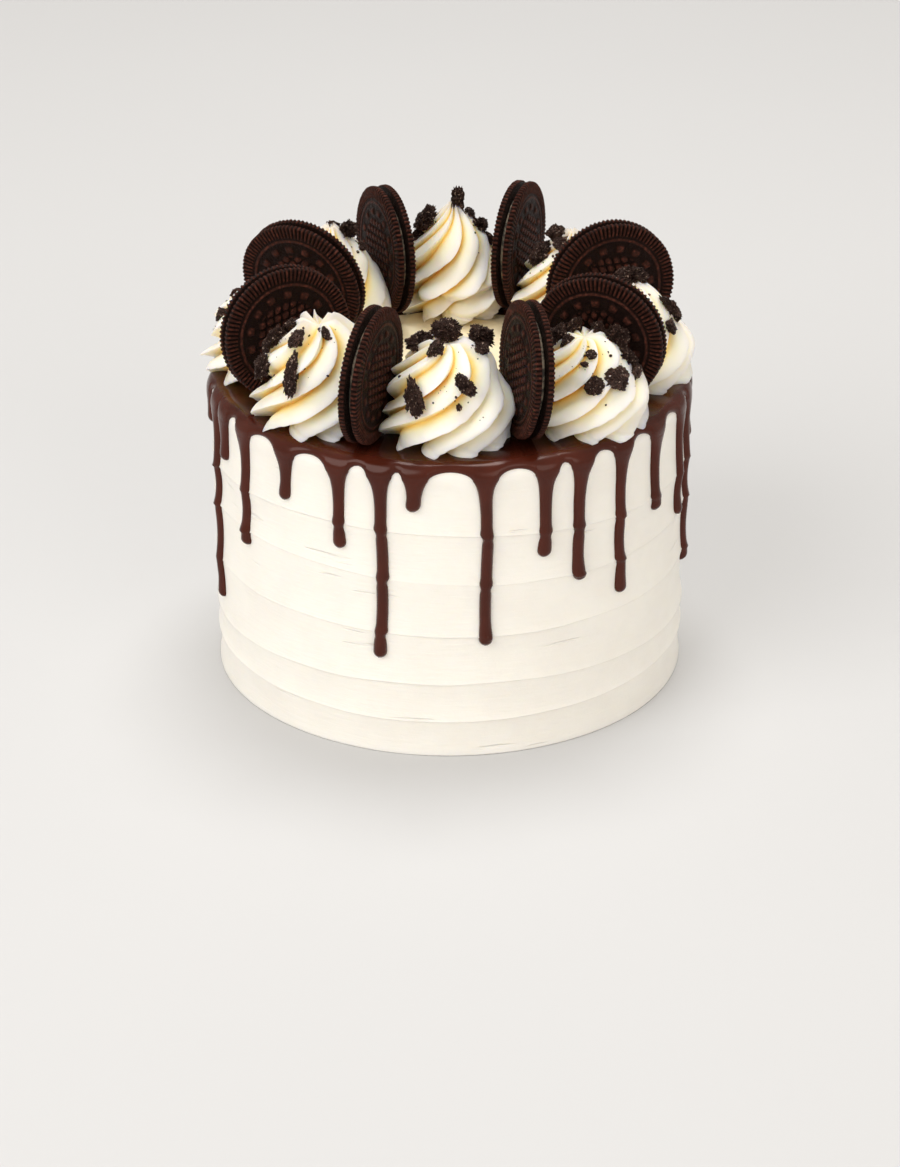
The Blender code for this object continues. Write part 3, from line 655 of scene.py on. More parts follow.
def wafer_shape(seed):
    """Points, faces and how raised each point is, of one wafer lying with its patterned face up."""
    count = sizes().edge_ridges
    columns = count * 4
    bearing = np.linspace(0, 2 * math.pi, columns, endpoint=False)
    tooth = np.tile(np.array([1.0, 1.0, 0.0, 0.0]), count)
    uneven = 0.05 * MM * wobble(bearing, seed, 10, 2) + 0.05 * MM * wobble(bearing, seed + 1, 8, 30)
    inside = FILLING_THICKNESS / 2 + 0.12 * MM
    face = COOKIE_HALF - 0.10 * MM
    rows = []
    raised = []
    for radius, level, above, cut, lift, tone in WAFER_RINGS:
        reach = radius * MM + uneven * min(1.0, radius * MM / COOKIE_RADIUS)
        height = (inside if level == "inside" else face) + above * MM
        rows.append(polar(bearing, reach - cut * MM * (1 - tooth), height + lift * MM * tooth))
        # The raised value sets painted light: painted highlight on teeth and raised rings, painted shade in
        # notches and grooves
        raised.append(tooth if tone is None else np.full_like(bearing, tone))
    for step in range(PATTERN_RINGS):
        distance = mix(PATTERN_RADIUS, 0.4, step / (PATTERN_RINGS - 1))
        relief = face_relief(bearing, distance)
        rows.append(polar(bearing, distance * MM + 0 * bearing, face - 0.38 * MM + 0.62 * MM * relief))
        # Raised parts of the pattern get painted highlight, hollows painted shade
        raised.append(0.12 + 0.88 * relief)
    points = np.concatenate(rows)
    faces = grid_faces(len(rows), columns)
    faces.append(list(range(columns))[::-1])
    last = (len(rows) - 1) * columns
    faces.append([last + column for column in range(columns)])
    return points, faces, np.concatenate(raised)


class CAKE_OT_cookies(bpy.types.Operator):
    """Build the sandwich cookies: two ridged wafers and a cream filling each"""
    bl_idname = "cake.cookies"
    bl_label = "Sandwich cookies"

    def execute(self, context):
        finish = wafer_finish()
        cream = filling_finish()
        flip = Matrix.Rotation(math.pi, 4, "X")
        points, faces, raised = wafer_shape(3)
        for number, place in enumerate(COOKIES, 1):
            matrix = cookie_frame(place)
            for side, turn in (("a", Matrix.Identity(4)), ("b", flip)):
                spin = Matrix.Rotation(number * 0.7 + (1.3 if side == "b" else 0.0), 4, "Z")
                name = f"cookie_{number}_wafer_{side}"
                wafer = new_piece("ridged_" + name, moved(points, matrix @ turn @ spin), faces, finish,
                                  [name], 38.0)
                add_values(wafer, "raised", raised)
                layer = wafer.data.uv_layers.new(name="face")
                corners = np.zeros(len(wafer.data.loops), np.int32)
                wafer.data.loops.foreach_get("vertex_index", corners)
                layer.data.foreach_set("uv", (points[corners][:, :2] / MM).astype(np.float32).ravel())
            bearing = np.linspace(0, 2 * math.pi, FILLING_COLUMNS, endpoint=False)
            rows = []
            for radius, level in FILLING_RINGS:
                ragged = 0.25 * MM * wobble(bearing, number * 7, 9, 2) * (radius > 1)
                height = level * (FILLING_THICKNESS / 2) + 0 * bearing
                rows.append(polar(bearing, radius * MM + ragged, height))
            cream_faces = grid_faces(len(rows), FILLING_COLUMNS)
            cream_faces.append(list(range(FILLING_COLUMNS))[::-1])
            last = (len(rows) - 1) * FILLING_COLUMNS
            cream_faces.append([last + column for column in range(FILLING_COLUMNS)])
            name = f"cookie_{number}_filling"
            new_piece("cream_" + name, moved(np.concatenate(rows), matrix), cream_faces, cream,
                      [name])
        return {"FINISHED"}


# Swirls

def swirl_centre(number):
    turn, distance = SWIRLS[number][:2]
    bearing = math.radians(turn)
    return np.array([distance * math.cos(bearing), distance * math.sin(bearing), CAKE_HEIGHT + GAP])


def swirl_limits(number):
    """Planes that hold a swirl back: the near faces of its cookies and the neighbouring swirls."""
    centre = swirl_centre(number)
    limits = []
    for place in COOKIES:
        matrix = cookie_frame(place)
        middle = np.array(matrix.translation)
        if np.linalg.norm((middle - centre)[:2]) > NEAR_COOKIE:
            continue
        axis = np.array(matrix.to_3x3() @ Vector((0, 0, 1)))
        side = 1.0 if (centre - middle) @ axis > 0 else -1.0
        limits.append((axis * side, middle @ (axis * side) + COOKIE_HALF + 0.02 * MM))
    for other in range(len(SWIRLS)):
        apart = (centre - swirl_centre(other)) * np.array([1, 1, 0])
        if other == number or np.linalg.norm(apart) > NEAR_SWIRL:
            continue
        normal = apart / np.linalg.norm(apart)
        limits.append((normal, (centre + swirl_centre(other)) / 2 @ normal + 0.05 * MM))
    return limits


def held_back(points, limits):
    """Points with all that lies behind a limit set flat on it."""
    for normal, offset in limits:
        short = np.maximum(0.0, offset - points @ normal)
        points = points + short[..., None] * normal
    return points


def ridge_height(turn):
    """0 in a crease to 1 on a crest: a long full rise, and then a short steep fall."""
    share = turn * SWIRL_RIDGES / (2 * math.pi) % 1.0
    rising = np.clip(share / RIDGE_CREST, 0, 1)
    falling = np.clip((1.0 - share) / (1.0 - RIDGE_CREST), 0, 1)
    full = mix(np.sin(rising * math.pi / 2), rising, 0.4) ** 0.85
    return np.where(share < RIDGE_CREST, full, falling ** 1.1)


def swirl_turn(number, rise):
    """How far the ridges have turned at one height; they turn faster near the base."""
    return number * SWIRL_PHASE + SWIRL_TWIST * (1.0 - (1.0 - np.minimum(rise, 1.0)) ** TWIST_BIAS)


def outline_reach(number, rise):
    rises, reaches = zip(*SWIRL_OUTLINE)
    return np.interp(rise, rises, reaches) ** SWIRLS[number][3]


def coil_shape(number, bearing, rise, tall):
    """Radius share of the coils that wind up the swirl."""
    turns = rise * tall / TIER_RISE - bearing / (2 * math.pi)
    shape = 1.0 + TIER_SWELL * np.cos(2 * math.pi * turns) * (rise > 0.1)
    if number == TWO_COILS:
        level = 0.33 + 0.10 * np.sin(bearing + 0.6)
        shape = shape - 0.25 * np.exp(-((rise - level) / 0.045) ** 2)
        shape = shape + 0.08 * np.exp(-((rise - level + 0.09) / 0.05) ** 2)
    return shape


def swirl_surface(number, bearing, rise):
    """Points of one swirl's skin, and how deep in a crease each lies."""
    tall = SWIRL_HEIGHT * SWIRLS[number][2]
    turn = bearing - swirl_turn(number, rise)
    uneven = 0.09 * wobble(turn, 500 + number, 6, 1)
    folds = 0.05 * np.sin(rise * 9.0 + wobble(turn, 520 + number, 4, 1) * 2.0)
    crest = ridge_height(turn + uneven + folds)
    cut = sizes().ridge_cut * (1.0 + 0.36 * wobble(turn, 540 + number, 5, 2))
    cut = cut * mix(1.35, 1.0, np.clip(rise / 0.3, 0, 1))
    reach = outline_reach(number, rise)
    coils = coil_shape(number, bearing, rise, tall)
    radius = SWIRL_RADIUS * reach * (1.0 - cut * (1.0 - crest)) * coils
    radius = radius * (1 + 0.02 * wobble(bearing + 3 * rise, 580 + number, 5, 1))
    teeth = np.clip(1 - rise / TEETH_SHARE, 0, 1)
    radius = radius + (1.9 * crest ** 4 - 1.5) * MM * teeth
    droop = np.clip((0.95 - rise) / 0.3, 0, 1)
    level = rise * tall - 0.4 * MM * teeth * crest ** 2 - 1.2 * MM * droop * crest ** 3
    crown = np.clip((rise - 0.74) / 0.26, 0, 1) ** 1.5
    tip = 1 + 0.7 * wobble(turn, 600 + number, 4, 1)
    level = level + crown * CROWN_TIPS[number] * (crest ** 2 - 0.55) * tip
    points = polar(bearing, radius, level) + swirl_centre(number)
    return points, 1.0 - crest


class CAKE_OT_swirls(bpy.types.Operator):
    """Pipe the cream swirls between the cookies"""
    bl_idname = "cake.swirls"
    bl_label = "Piped swirls"

    def execute(self, context):
        finish = piped_finish()
        columns = SWIRL_RIDGES * RIDGE_STEPS
        turns = np.linspace(0, 2 * math.pi, columns, endpoint=False)
        base = np.linspace(0, BASE_SHARE, BASE_ROWS, endpoint=False)
        rises = np.concatenate([base, np.linspace(BASE_SHARE, 1.0, SWIRL_ROWS)])
        for number in range(len(SWIRLS)):
            rise, turn = np.meshgrid(rises, turns, indexing="ij")
            bearing = turn + swirl_turn(number, rise)
            points, crease = swirl_surface(number, bearing.ravel(), rise.ravel())
            points = held_back(points, swirl_limits(number))
            faces = grid_faces(len(rises), columns)
            faces.append(list(range(columns))[::-1])
            last = (len(rises) - 1) * columns
            peak = points[last:last + columns].mean(0) - np.array([0, 0, 0.3 * MM])
            points = np.vstack([points, peak])
            crease = np.append(crease, 0.5)
            top = len(points) - 1
            faces += [(last + column, last + (column + 1) % columns, top) for column in range(columns)]
            name = f"swirl_{number + 1}"
            made = new_piece("piped_" + name, points, faces, finish, [name], 75.0)
            # The crease depth tells the material where to paint shade and bounce light
            add_values(made, "crease", crease)
        return {"FINISHED"}


# Broken cookie

def rock(seed, detail, roughness):
    """A rough broken lump about 1 across: points and faces."""
    rng = random.Random(seed)
    shell = bmesh.new()
    bmesh.ops.create_icosphere(shell, subdivisions=detail, radius=1.0)
    unit = np.array([vert.co[:] for vert in shell.verts])
    faces = [tuple(vert.index for vert in face.verts) for face in shell.faces]
    shell.free()
    normals = []
    for _ in range(BROKEN_PLANES):
        normal = Vector((rng.gauss(0, 1), rng.gauss(0, 1), rng.gauss(0, 1))).normalized()
        normals.append((*normal, rng.uniform(0.38, 0.54)))
    normals = np.array(normals + [(0, 0, 1, 0.42), (0, 0, -1, 0.42)])
    reach = np.maximum(unit @ normals[:, :3].T, 1e-3) / normals[:, 3]
    radius = 1.0 / (reach ** PLANE_POWER).sum(1) ** (1 / PLANE_POWER)
    radius = np.minimum(radius, 0.62)
    points = unit * radius[:, None]
    shift = Vector((rng.uniform(0, 50), rng.uniform(0, 50), rng.uniform(0, 50)))
    rough = []
    for point in points:
        place = Vector(point) * 4.0 + shift
        value = noise.noise(place) * 0.5 + abs(noise.noise(place * 2.1)) * 0.55 - 0.15
        value += noise.noise(place * 4.6) * 0.4 + noise.noise(place * 10.3) * 0.26
        value -= 0.5 * max(0.0, 0.14 - abs(noise.noise(place * 1.3))) / 0.14
        rough.append(value)
    return points * (1 + roughness * np.array(rough))[:, None], faces


def surface_frame(number, bearing, rise):
    """A point on a swirl, and the matrix whose Z points out of it, X down the slope and Y round."""
    around, _ = swirl_surface(number, np.array([bearing, bearing]), np.array([rise, rise]))
    height = SWIRL_HEIGHT * SWIRLS[number][2]
    middle = min(rise, SLOPE_LIMIT)
    fall = outline_reach(number, middle - SLOPE_STEP) - outline_reach(number, middle + SLOPE_STEP)
    steep = float(fall) * SWIRL_RADIUS / (2 * SLOPE_STEP * height) if rise < UPRIGHT_FROM else 0.0
    out = Vector((math.cos(bearing), math.sin(bearing), steep)).normalized()
    side = Vector((-math.sin(bearing), math.cos(bearing), 0.0))
    matrix = Matrix((side.cross(out), side, out)).transposed().to_4x4()
    matrix.translation = Vector(around[0])
    return matrix


class CAKE_OT_broken_pieces(bpy.types.Operator):
    """Set the larger pieces of broken cookie into the swirls"""
    bl_idname = "cake.broken_pieces"
    bl_label = "Broken pieces"

    def execute(self, context):
        finish = broken_finish()
        for index, (owner, turn, rise, length, width, depth, roll) in enumerate(PIECES, 1):
            number = owner - 1
            points, faces = rock(900 + index, 5, PIECE_ROUGHNESS)
            low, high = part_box(f"cookie_piece_{index}")
            matrix = surface_frame(number, math.radians(turn), rise)
            matrix.translation = (low + high) / 2
            points = points / np.ptp(points, axis=0) * np.array([length, width, depth]) * PIECE_SCALE * MM
            matrix = matrix @ Matrix.Rotation(math.radians(roll), 4, "Z")
            points = held_back(moved(points, matrix), swirl_limits(number))
            new_piece(f"broken_piece_{index}", points, faces, finish,
                      [f"cookie_piece_{index}"], CRISP_ANGLE)
        return {"FINISHED"}


class CAKE_OT_crumbs(bpy.types.Operator):
    """Scatter the smaller lumps and the fine crumbs"""
    bl_idname = "cake.crumbs"
    bl_label = "Crumbs"

    def execute(self, context):
        rng = random.Random(77)
        finish = broken_finish()
        kinds = [rock(40 + kind, 4, LUMP_ROUGHNESS) for kind in range(5)]
        fine_kinds = [rock(60 + kind, 1, CRUMB_ROUGHNESS) for kind in range(4)]
        groups = {"cookie_lumps": ([], [], 0), "cookie_crumbs": ([], [], 0)}

        def drop(group, kind, number, bearing, rise, size, sunk):
            points, faces = kind
            matrix = surface_frame(number, bearing, rise)
            matrix.translation += matrix.to_3x3() @ Vector((0, 0, size * sunk))
            spin = Matrix.Rotation(rng.uniform(0, 6.28), 4, "Z")
            spin = spin @ Matrix.Rotation(rng.uniform(-0.6, 0.6), 4, "X")
            shaped = points * size * np.array([1.0, rng.uniform(0.65, 0.95), rng.uniform(0.5, 0.8)])
            placed = held_back(moved(shaped, matrix @ spin), swirl_limits(number))
            all_points, all_faces, start = groups[group]
            all_points.append(placed)
            all_faces.extend(tuple(corner + start for corner in face) for face in faces)
            groups[group] = (all_points, all_faces, start + len(points))

        for owner, turn, rise, length in LUMPS:
            drop("cookie_lumps", rng.choice(kinds), owner - 1, math.radians(turn), rise, length * MM, 0.18)
        for number in range(len(SWIRLS)):
            near = [(math.radians(row[1]), row[2]) for row in PIECES if row[0] == number + 1]
            near += [(math.radians(row[1]), row[2]) for row in LUMPS if row[0] == number + 1]
            for _ in range(sizes().crumb_count):
                turn, rise = rng.choice(near)
                turn += rng.gauss(0, 0.35)
                rise = min(0.97, max(0.12, rise + rng.gauss(0, 0.12)))
                size = MM * (0.35 + 1.3 * rng.random() ** 3.5)
                drop("cookie_crumbs", rng.choice(fine_kinds), number, turn, rise, size, 0.1)
        for name, (points, faces, _) in groups.items():
            new_piece(name, np.concatenate(points), faces, finish, (), CRISP_ANGLE)
        return {"FINISHED"}


# Finishes: tones that don't follow from the colours a user sets

# Yellow of the cake's flat top: painted bounce light from the piped cream, not the frosting's own colour
CAKE_TOP_PAINTED_BOUNCE = (0.97, 0.85, 0.60, 1.0)
# Painted shade on the flanks of the piped ridges that fall into the creases
PIPED_SHADE = (0.98, 0.83, 0.44, 1.0)
# Pale flecks of the filling, dimmed: painted shade of the slot between the wafers
FILLING_PALE_IN_SHADE = (0.46, 0.38, 0.28, 1.0)
BROKEN_PALE = (0.13, 0.07, 0.052, 1.0)
BROKEN_FLECKS = (0.48, 0.36, 0.29, 1.0)
FLOOR_LOW = (0.60, 0.605, 0.615, 1.0)
FLOOR_HIGH = (0.62, 0.625, 0.635, 1.0)


class Nodes:
    """Short calls for building one node tree."""

    def __init__(self, tree):
        self.tree = tree

    def add(self, kind, values=None, **facts):
        node = self.tree.nodes.new(kind)
        for key, value in facts.items():
            setattr(node, key, value)
        for key, value in (values or {}).items():
            node.inputs[key].default_value = value
        return node

    def link(self, out, into):
        self.tree.links.new(out, into)
        return into

    def maths(self, operation, first, second=None, third=None, clamp=False):
        node = self.add("ShaderNodeMath", operation=operation, use_clamp=clamp)
        for place, value in enumerate((first, second, third)):
            if value is None:
                continue
            if hasattr(value, "links"):
                self.link(value, node.inputs[place])
            else:
                node.inputs[place].default_value = value
        return node.outputs[0]

    def blend(self, share, first, second):
        node = self.add("ShaderNodeMix", data_type="RGBA")
        for place, value in ((0, share), (6, first), (7, second)):
            if hasattr(value, "links"):
                self.link(value, node.inputs[place])
            else:
                node.inputs[place].default_value = value
        return node.outputs[2]

    def ramp(self, value, low, high):
        limits = {"From Min": low, "From Max": high}
        node = self.add("ShaderNodeMapRange", limits, interpolation_type="SMOOTHSTEP")
        self.link(value, node.inputs["Value"])
        return node.outputs["Result"]

    def noise(self, vector, scale, detail=4.0, rough=0.55):
        node = self.add("ShaderNodeTexNoise", {"Scale": scale, "Detail": detail, "Roughness": rough})
        self.link(vector, node.inputs["Vector"])
        return node.outputs["Fac"]


def rgba(colour, factor=1.0):
    return (*(min(1.0, channel * factor) for channel in colour), 1.0)


def new_finish(name, roughness, settings):
    """A material with its Principled shader; returns it, its nodes and the shader."""
    finish = bpy.data.materials.new(name)
    finish.use_nodes = True
    nodes = Nodes(finish.node_tree)
    shader = finish.node_tree.nodes["Principled BSDF"]
    shader.inputs["Roughness"].default_value = roughness
    for key, value in settings.items():
        shader.inputs[key].default_value = value
    return finish, nodes, shader


def grain_group():
    """Shared effect: fine grain of baked or whipped food, as a height and a mottling mask."""
    group = bpy.data.node_groups.get("food_grain")
    if group:
        return group
    group = bpy.data.node_groups.new("food_grain", "ShaderNodeTree")
    face = group.interface
    for label, value in (("Coarse scale", 300.0), ("Fine scale", 1400.0), ("Coarse share", 0.6)):
        socket = face.new_socket(label, in_out="INPUT", socket_type="NodeSocketFloat")
        socket.default_value = value
    face.new_socket("Height", in_out="OUTPUT", socket_type="NodeSocketFloat")
    face.new_socket("Mottle", in_out="OUTPUT", socket_type="NodeSocketFloat")
    nodes = Nodes(group)
    given = nodes.add("NodeGroupInput")
    result = nodes.add("NodeGroupOutput")
    place = nodes.add("ShaderNodeTexCoord").outputs["Object"]
    coarse = nodes.add("ShaderNodeTexNoise", {"Detail": 3.0, "Roughness": 0.6})
    fine = nodes.add("ShaderNodeTexNoise", {"Detail": 4.0, "Roughness": 0.65})
    for node, label in ((coarse, "Coarse scale"), (fine, "Fine scale")):
        nodes.link(place, node.inputs["Vector"])
        nodes.link(given.outputs[label], node.inputs["Scale"])
    mixed = nodes.add("ShaderNodeMix", data_type="FLOAT")
    nodes.link(given.outputs["Coarse share"], mixed.inputs[0])
    nodes.link(fine.outputs["Fac"], mixed.inputs[2])
    nodes.link(coarse.outputs["Fac"], mixed.inputs[3])
    nodes.link(mixed.outputs[0], result.inputs["Height"])
    nodes.link(coarse.outputs["Fac"], result.inputs["Mottle"])
    return group


def grain(nodes, coarse, fine, share):
    node = nodes.add("ShaderNodeGroup")
    node.node_tree = grain_group()
    node.inputs["Coarse scale"].default_value = coarse
    node.inputs["Fine scale"].default_value = fine
    node.inputs["Coarse share"].default_value = share
    return node


def bump(nodes, shader, height, distance, strength=1.0):
    node = nodes.add("ShaderNodeBump", {"Strength": strength, "Distance": distance})
    nodes.link(height, node.inputs["Height"])
    nodes.link(node.outputs["Normal"], shader.inputs["Normal"])
    return node


def frosting_finish():
    colour = tuple(colours().frosting)
    finish, nodes, shader = new_finish("white_buttercream", 0.5, {
        "Subsurface Weight": 0.25, "Subsurface Scale": 0.004, "Specular IOR Level": 0.35})
    shader.inputs["Subsurface Radius"].default_value = (1.0, 0.85, 0.6)
    place = nodes.add("ShaderNodeTexCoord").outputs["Object"]
    stretch = nodes.add("ShaderNodeMapping")
    stretch.inputs["Scale"].default_value = (1.0, 1.0, 9.0)
    nodes.link(place, stretch.inputs["Vector"])
    streaks = nodes.noise(stretch.outputs["Vector"], 90.0, 5.0, 0.6)
    detail = grain(nodes, 60.0, 900.0, 0.5)
    mottle = nodes.ramp(detail.outputs["Mottle"], 0.35, 0.65)
    tone = nodes.blend(mottle, rgba(colour, 0.985), rgba(colour, 1.015))
    parts = nodes.add("ShaderNodeSeparateXYZ")
    nodes.link(place, parts.inputs[0])
    # The flat top is painted yellow: painted bounce light from the piped cream
    top = nodes.ramp(parts.outputs[2], CAKE_HEIGHT - 1.5 * MM, CAKE_HEIGHT - 0.2 * MM)
    tone = nodes.blend(top, tone, CAKE_TOP_PAINTED_BOUNCE)
    nodes.link(tone, shader.inputs["Base Color"])
    height = nodes.maths("MULTIPLY_ADD", streaks, 0.7, nodes.maths("MULTIPLY", detail.outputs["Height"], 0.3))
    tears = nodes.ramp(nodes.noise(stretch.outputs["Vector"], 34.0, 2.0, 0.4), 0.70, 0.78)
    height = nodes.maths("SUBTRACT", height, nodes.maths("MULTIPLY", tears, 1.6))
    bump(nodes, shader, height, 0.0005, 0.6)
    nodes.link(nodes.maths("MULTIPLY_ADD", streaks, 0.2, 0.4), shader.inputs["Roughness"])
    return finish


def piped_finish():
    crest = tuple(colours().piped)
    crease = tuple(colours().crease)
    finish, nodes, shader = new_finish("piped_buttercream", 0.42, {
        "Subsurface Weight": 0.65, "Subsurface Scale": 0.008, "Specular IOR Level": 0.14})
    shader.inputs["Subsurface Radius"].default_value = (1.0, 0.75, 0.35)
    # Towards the creases the cream is painted darker and more yellow: painted shade and bounce light
    depth = nodes.add("ShaderNodeAttribute", attribute_name="crease")
    share = nodes.ramp(depth.outputs["Fac"], 0.45, 0.95)
    soft = nodes.ramp(depth.outputs["Fac"], 0.05, 0.75)
    detail = grain(nodes, 150.0, 1200.0, 0.5)
    tone = nodes.blend(nodes.maths("MULTIPLY", soft, 0.62), rgba(crest), PIPED_SHADE)
    tone = nodes.blend(nodes.maths("MULTIPLY", share, 0.9), tone, rgba(crease))
    tone = nodes.blend(nodes.maths("MULTIPLY", detail.outputs["Mottle"], 0.12), tone, rgba(crest, 1.02))
    nodes.link(tone, shader.inputs["Base Color"])
    bump(nodes, shader, detail.outputs["Height"], 0.00025, 0.5)
    nodes.link(nodes.maths("MULTIPLY_ADD", detail.outputs["Mottle"], 0.2, 0.3), shader.inputs["Roughness"])
    return finish


def ganache_finish():
    colour = tuple(colours().ganache)
    finish, nodes, shader = new_finish("dark_ganache", 0.3, {
        "Specular IOR Level": 0.15, "Specular Tint": (1.0, 0.62, 0.54, 1.0), "Coat Roughness": 0.18,
        "Subsurface Weight": 0.05, "Subsurface Scale": 0.001})
    detail = grain(nodes, 70.0, 1500.0, 0.85)
    tone = nodes.blend(nodes.ramp(detail.outputs["Mottle"], 0.3, 0.7), rgba(colour, 0.78), rgba(colour, 1.05))
    # Inward of 70 to 78 mm from the middle, the ganache is painted at 0.3 of its colour and its coat fades:
    # painted shade of the swirls and cookies
    level = nodes.add("ShaderNodeVectorMath", {1: (1.0, 1.0, 0.0)}, operation="MULTIPLY")
    nodes.link(nodes.add("ShaderNodeTexCoord").outputs["Object"], level.inputs[0])
    radius = nodes.add("ShaderNodeVectorMath", operation="LENGTH")
    nodes.link(level.outputs[0], radius.inputs[0])
    rim = nodes.ramp(radius.outputs["Value"], 70.0 * MM, 78.0 * MM)
    tone = nodes.blend(rim, rgba(colour, 0.3), tone)
    nodes.link(tone, shader.inputs["Base Color"])
    nodes.link(nodes.maths("MULTIPLY", rim, 0.28), shader.inputs["Coat Weight"])
    bump(nodes, shader, detail.outputs["Height"], 0.0003, 0.35)
    nodes.link(nodes.maths("MULTIPLY_ADD", detail.outputs["Mottle"], 0.14, 0.14), shader.inputs["Roughness"])
    return finish


def wafer_finish():
    colour = tuple(colours().wafer)
    finish, nodes, shader = new_finish("cocoa_wafer", 0.6, {
        "Specular IOR Level": 0.22, "Specular Tint": (1.0, 0.6, 0.5, 1.0)})
    place = nodes.add("ShaderNodeUVMap", uv_map="face").outputs["UV"]
    radius = nodes.add("ShaderNodeVectorMath", operation="LENGTH")
    nodes.link(place, radius.inputs[0])
    inside = nodes.ramp(radius.outputs["Value"], 17.2, 16.0)
    dents = nodes.noise(place, 1.1, 3.0, 0.6)
    detail = grain(nodes, 900.0, 3200.0, 0.6)
    pores = nodes.ramp(detail.outputs["Height"], 0.42, 0.55)
    height = nodes.maths("MULTIPLY_ADD", nodes.maths("MULTIPLY", dents, inside), 0.9,
                         nodes.maths("MULTIPLY", pores, 0.35))
    bump(nodes, shader, height, 0.0010, 1.0)
    # Painted highlight on raised parts and painted shade in grooves: 0.12 to 3.2 times the wafer colour by
    # how raised a point is, with random mottle
    raised = nodes.add("ShaderNodeAttribute", attribute_name="raised").outputs["Fac"]
    mottle_and_painted_relief_light = nodes.ramp(detail.outputs["Mottle"], 0.42, 0.66)
    mottle_and_painted_relief_light = nodes.maths("MULTIPLY", nodes.maths("MULTIPLY_ADD", mottle_and_painted_relief_light, 0.6, 0.4), nodes.ramp(raised, 0.1, 0.95))
    tone = nodes.blend(mottle_and_painted_relief_light, rgba(colour, 0.12), rgba(colour, 3.2))
    nodes.link(tone, shader.inputs["Base Color"])
    nodes.link(nodes.maths("MULTIPLY_ADD", pores, 0.15, 0.48), shader.inputs["Roughness"])
    return finish


def filling_finish():
    colour = tuple(colours().filling)
    finish, nodes, shader = new_finish("vanilla_filling", 0.7, {"Specular IOR Level": 0.3})
    detail = grain(nodes, 500.0, 2400.0, 0.5)
    # The cream is painted at 0.12 of its own colour with dimmed random pale flecks: painted shade of the
    # narrow slot between the wafers
    mottle = nodes.ramp(detail.outputs["Mottle"], 0.4, 0.62)
    tone = nodes.blend(mottle, rgba(colour, 0.12), FILLING_PALE_IN_SHADE)
    nodes.link(tone, shader.inputs["Base Color"])
    bump(nodes, shader, detail.outputs["Height"], 0.0004, 0.8)
    return finish


def broken_finish():
    found = bpy.data.materials.get("broken_cocoa_biscuit")
    if found:
        return found
    colour = tuple(colours().wafer)
    finish, nodes, shader = new_finish("broken_cocoa_biscuit", 0.36, {
        "Specular IOR Level": 0.5, "Specular Tint": (1.0, 0.66, 0.56, 1.0)})
    detail = grain(nodes, 420.0, 1900.0, 0.5)
    pale = nodes.ramp(detail.outputs["Height"], 0.50, 0.66)
    tone = nodes.blend(nodes.maths("MULTIPLY", pale, 0.8), rgba(colour, 0.25), BROKEN_PALE)
    flecks = nodes.noise(nodes.add("ShaderNodeTexCoord").outputs["Object"], 1300.0, 2.0, 0.5)
    tone = nodes.blend(nodes.ramp(flecks, 0.64, 0.69), tone, BROKEN_FLECKS)
    nodes.link(tone, shader.inputs["Base Color"])
    bump(nodes, shader, detail.outputs["Height"], 0.0016, 1.0)
    return finish


# Stage

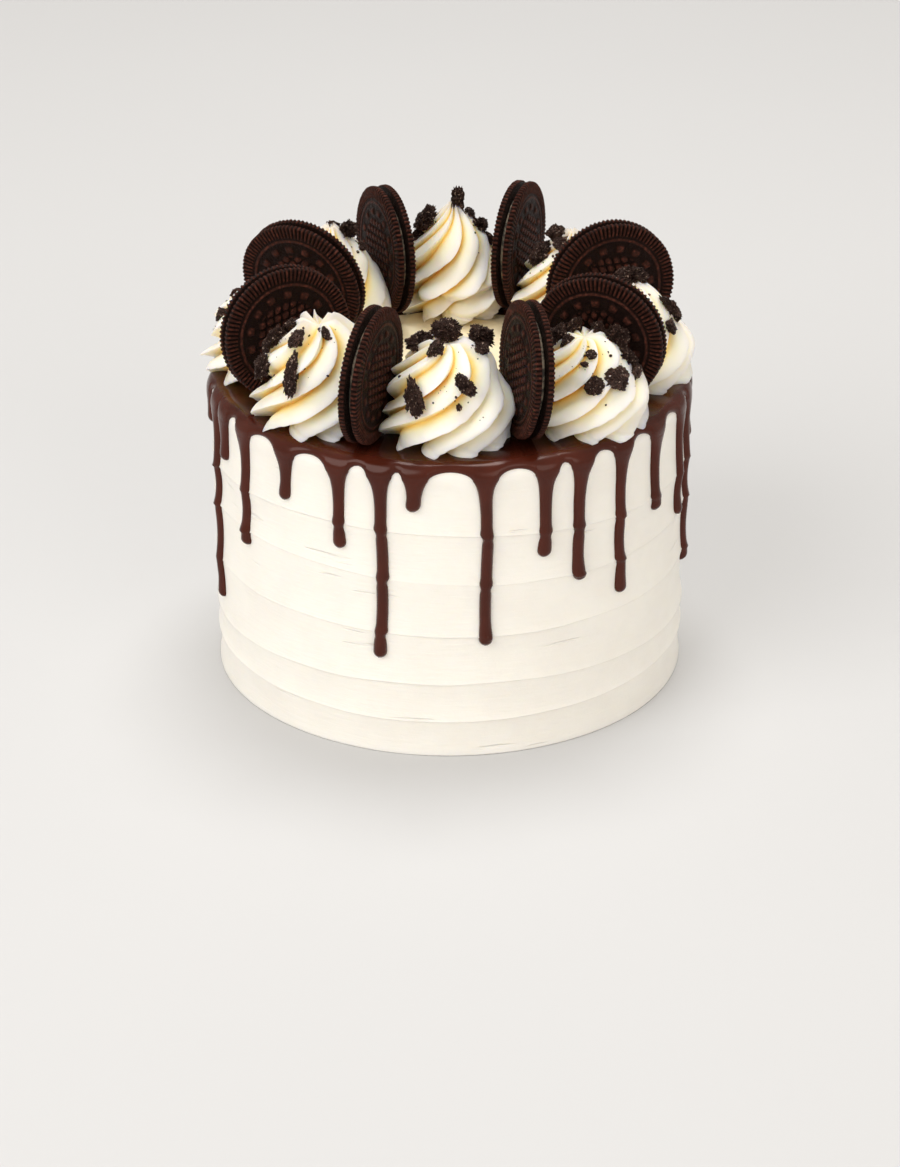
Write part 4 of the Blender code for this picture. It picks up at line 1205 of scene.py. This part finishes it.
class CAKE_OT_stage(bpy.types.Operator):
    """Set the pale floor, the soft light and the camera"""
    bl_idname = "cake.stage"
    bl_label = "Stage"

    def execute(self, context):
        scene = context.scene
        sweep = [(-3.0, 0.0), (2.2, 0.0), (2.8, 0.08), (3.2, 0.4), (3.4, 1.0), (3.4, 4.0)]
        points = []
        for back, height in sweep:
            points += [(-5.0, back, height - 0.0002), (5.0, back, height - 0.0002)]
        faces = [(2 * row, 2 * row + 1, 2 * row + 3, 2 * row + 2) for row in range(len(sweep) - 1)]
        mesh = bpy.data.meshes.new("floor")
        mesh.from_pydata(points, [], faces)
        mesh.shade_smooth()
        floor = bpy.data.objects.new("floor", mesh)
        scene.collection.objects.link(floor)
        finish, nodes, shader = new_finish("pale_floor", 0.85, {"Specular IOR Level": 0.2})
        tone = nodes.noise(nodes.add("ShaderNodeTexCoord").outputs["Object"], 3.0, 2.0)
        nodes.link(nodes.blend(tone, FLOOR_LOW, FLOOR_HIGH), shader.inputs["Base Color"])
        mesh.materials.append(finish)

        world = bpy.data.worlds.new("pale_room")
        world.use_nodes = True
        ground = world.node_tree.nodes["Background"]
        ground.inputs["Color"].default_value = (1.0, 0.945, 0.87, 1.0)
        ground.inputs["Strength"].default_value = 0.61
        scene.world = world
        scene.view_settings.view_transform = "Standard"

        def lamp(name, place, target, size, power, colour):
            light = bpy.data.lights.new(name, "AREA")
            light.shape = "DISK"
            light.size = size
            light.energy = power
            light.color = colour
            item = bpy.data.objects.new(name, light)
            scene.collection.objects.link(item)
            item.location = place
            item.rotation_euler = (Vector(target) - Vector(place)).to_track_quat("-Z", "Y").to_euler()

        lamp("window", (-1.2, -1.15, 1.25), (0, 0, 0.08), 1.7, 21.5, (1.0, 0.985, 0.965))
        lamp("fill", (1.0, -1.4, 0.8), (0, 0, 0.08), 1.3, 7.0, (1.0, 0.955, 0.9))
        lamp("overhead", (0.1, 0.4, 1.7), (0, 0, 0.1), 0.9, 16.0, (1.0, 0.98, 0.95))

        camera = bpy.data.cameras.new("photo_view")
        camera.lens = 105.0
        camera.sensor_width = 36.0
        item = bpy.data.objects.new("photo_view", camera)
        scene.collection.objects.link(item)
        item.location = (0.0001, -1.0580, 0.5584)
        item.rotation_euler = (math.radians(90 - 26.837), 0.0, 0.0)
        camera.dof.use_dof = False
        scene.camera = item
        return {"FINISHED"}


class CAKE_PT_panel(bpy.types.Panel):
    """Lists the cake's pieces in the sidebar"""
    bl_label = "Cookies and cream cake"
    bl_idname = "CAKE_PT_panel"
    bl_space_type = "VIEW_3D"
    bl_region_type = "UI"
    bl_category = "Cake"

    def draw(self, context):
        for group in (context.scene.cake_sizes, context.scene.cake_colours):
            for key in group.__annotations__:
                self.layout.prop(group, key)
        for operator in OPERATORS:
            self.layout.operator(operator.bl_idname)


OPERATORS = (
    CAKE_OT_frosted_body,
    CAKE_OT_ganache,
    CAKE_OT_swirls,
    CAKE_OT_cookies,
    CAKE_OT_broken_pieces,
    CAKE_OT_crumbs,
    CAKE_OT_stage,
)
CLASSES = (CakeSizes, CakeColours, *OPERATORS, CAKE_PT_panel)


def register():
    for item in CLASSES:
        bpy.utils.register_class(item)
    bpy.types.Scene.cake_sizes = PointerProperty(type=CakeSizes)
    bpy.types.Scene.cake_colours = PointerProperty(type=CakeColours)


def unregister():
    del bpy.types.Scene.cake_colours
    del bpy.types.Scene.cake_sizes
    for item in reversed(CLASSES):
        bpy.utils.unregister_class(item)


def main():
    register()
    bpy.ops.cake.frosted_body()
    bpy.ops.cake.ganache()
    bpy.ops.cake.swirls()
    bpy.ops.cake.cookies()
    bpy.ops.cake.broken_pieces()
    bpy.ops.cake.crumbs()
    bpy.ops.cake.stage()


if __name__ == "__main__":
    main()
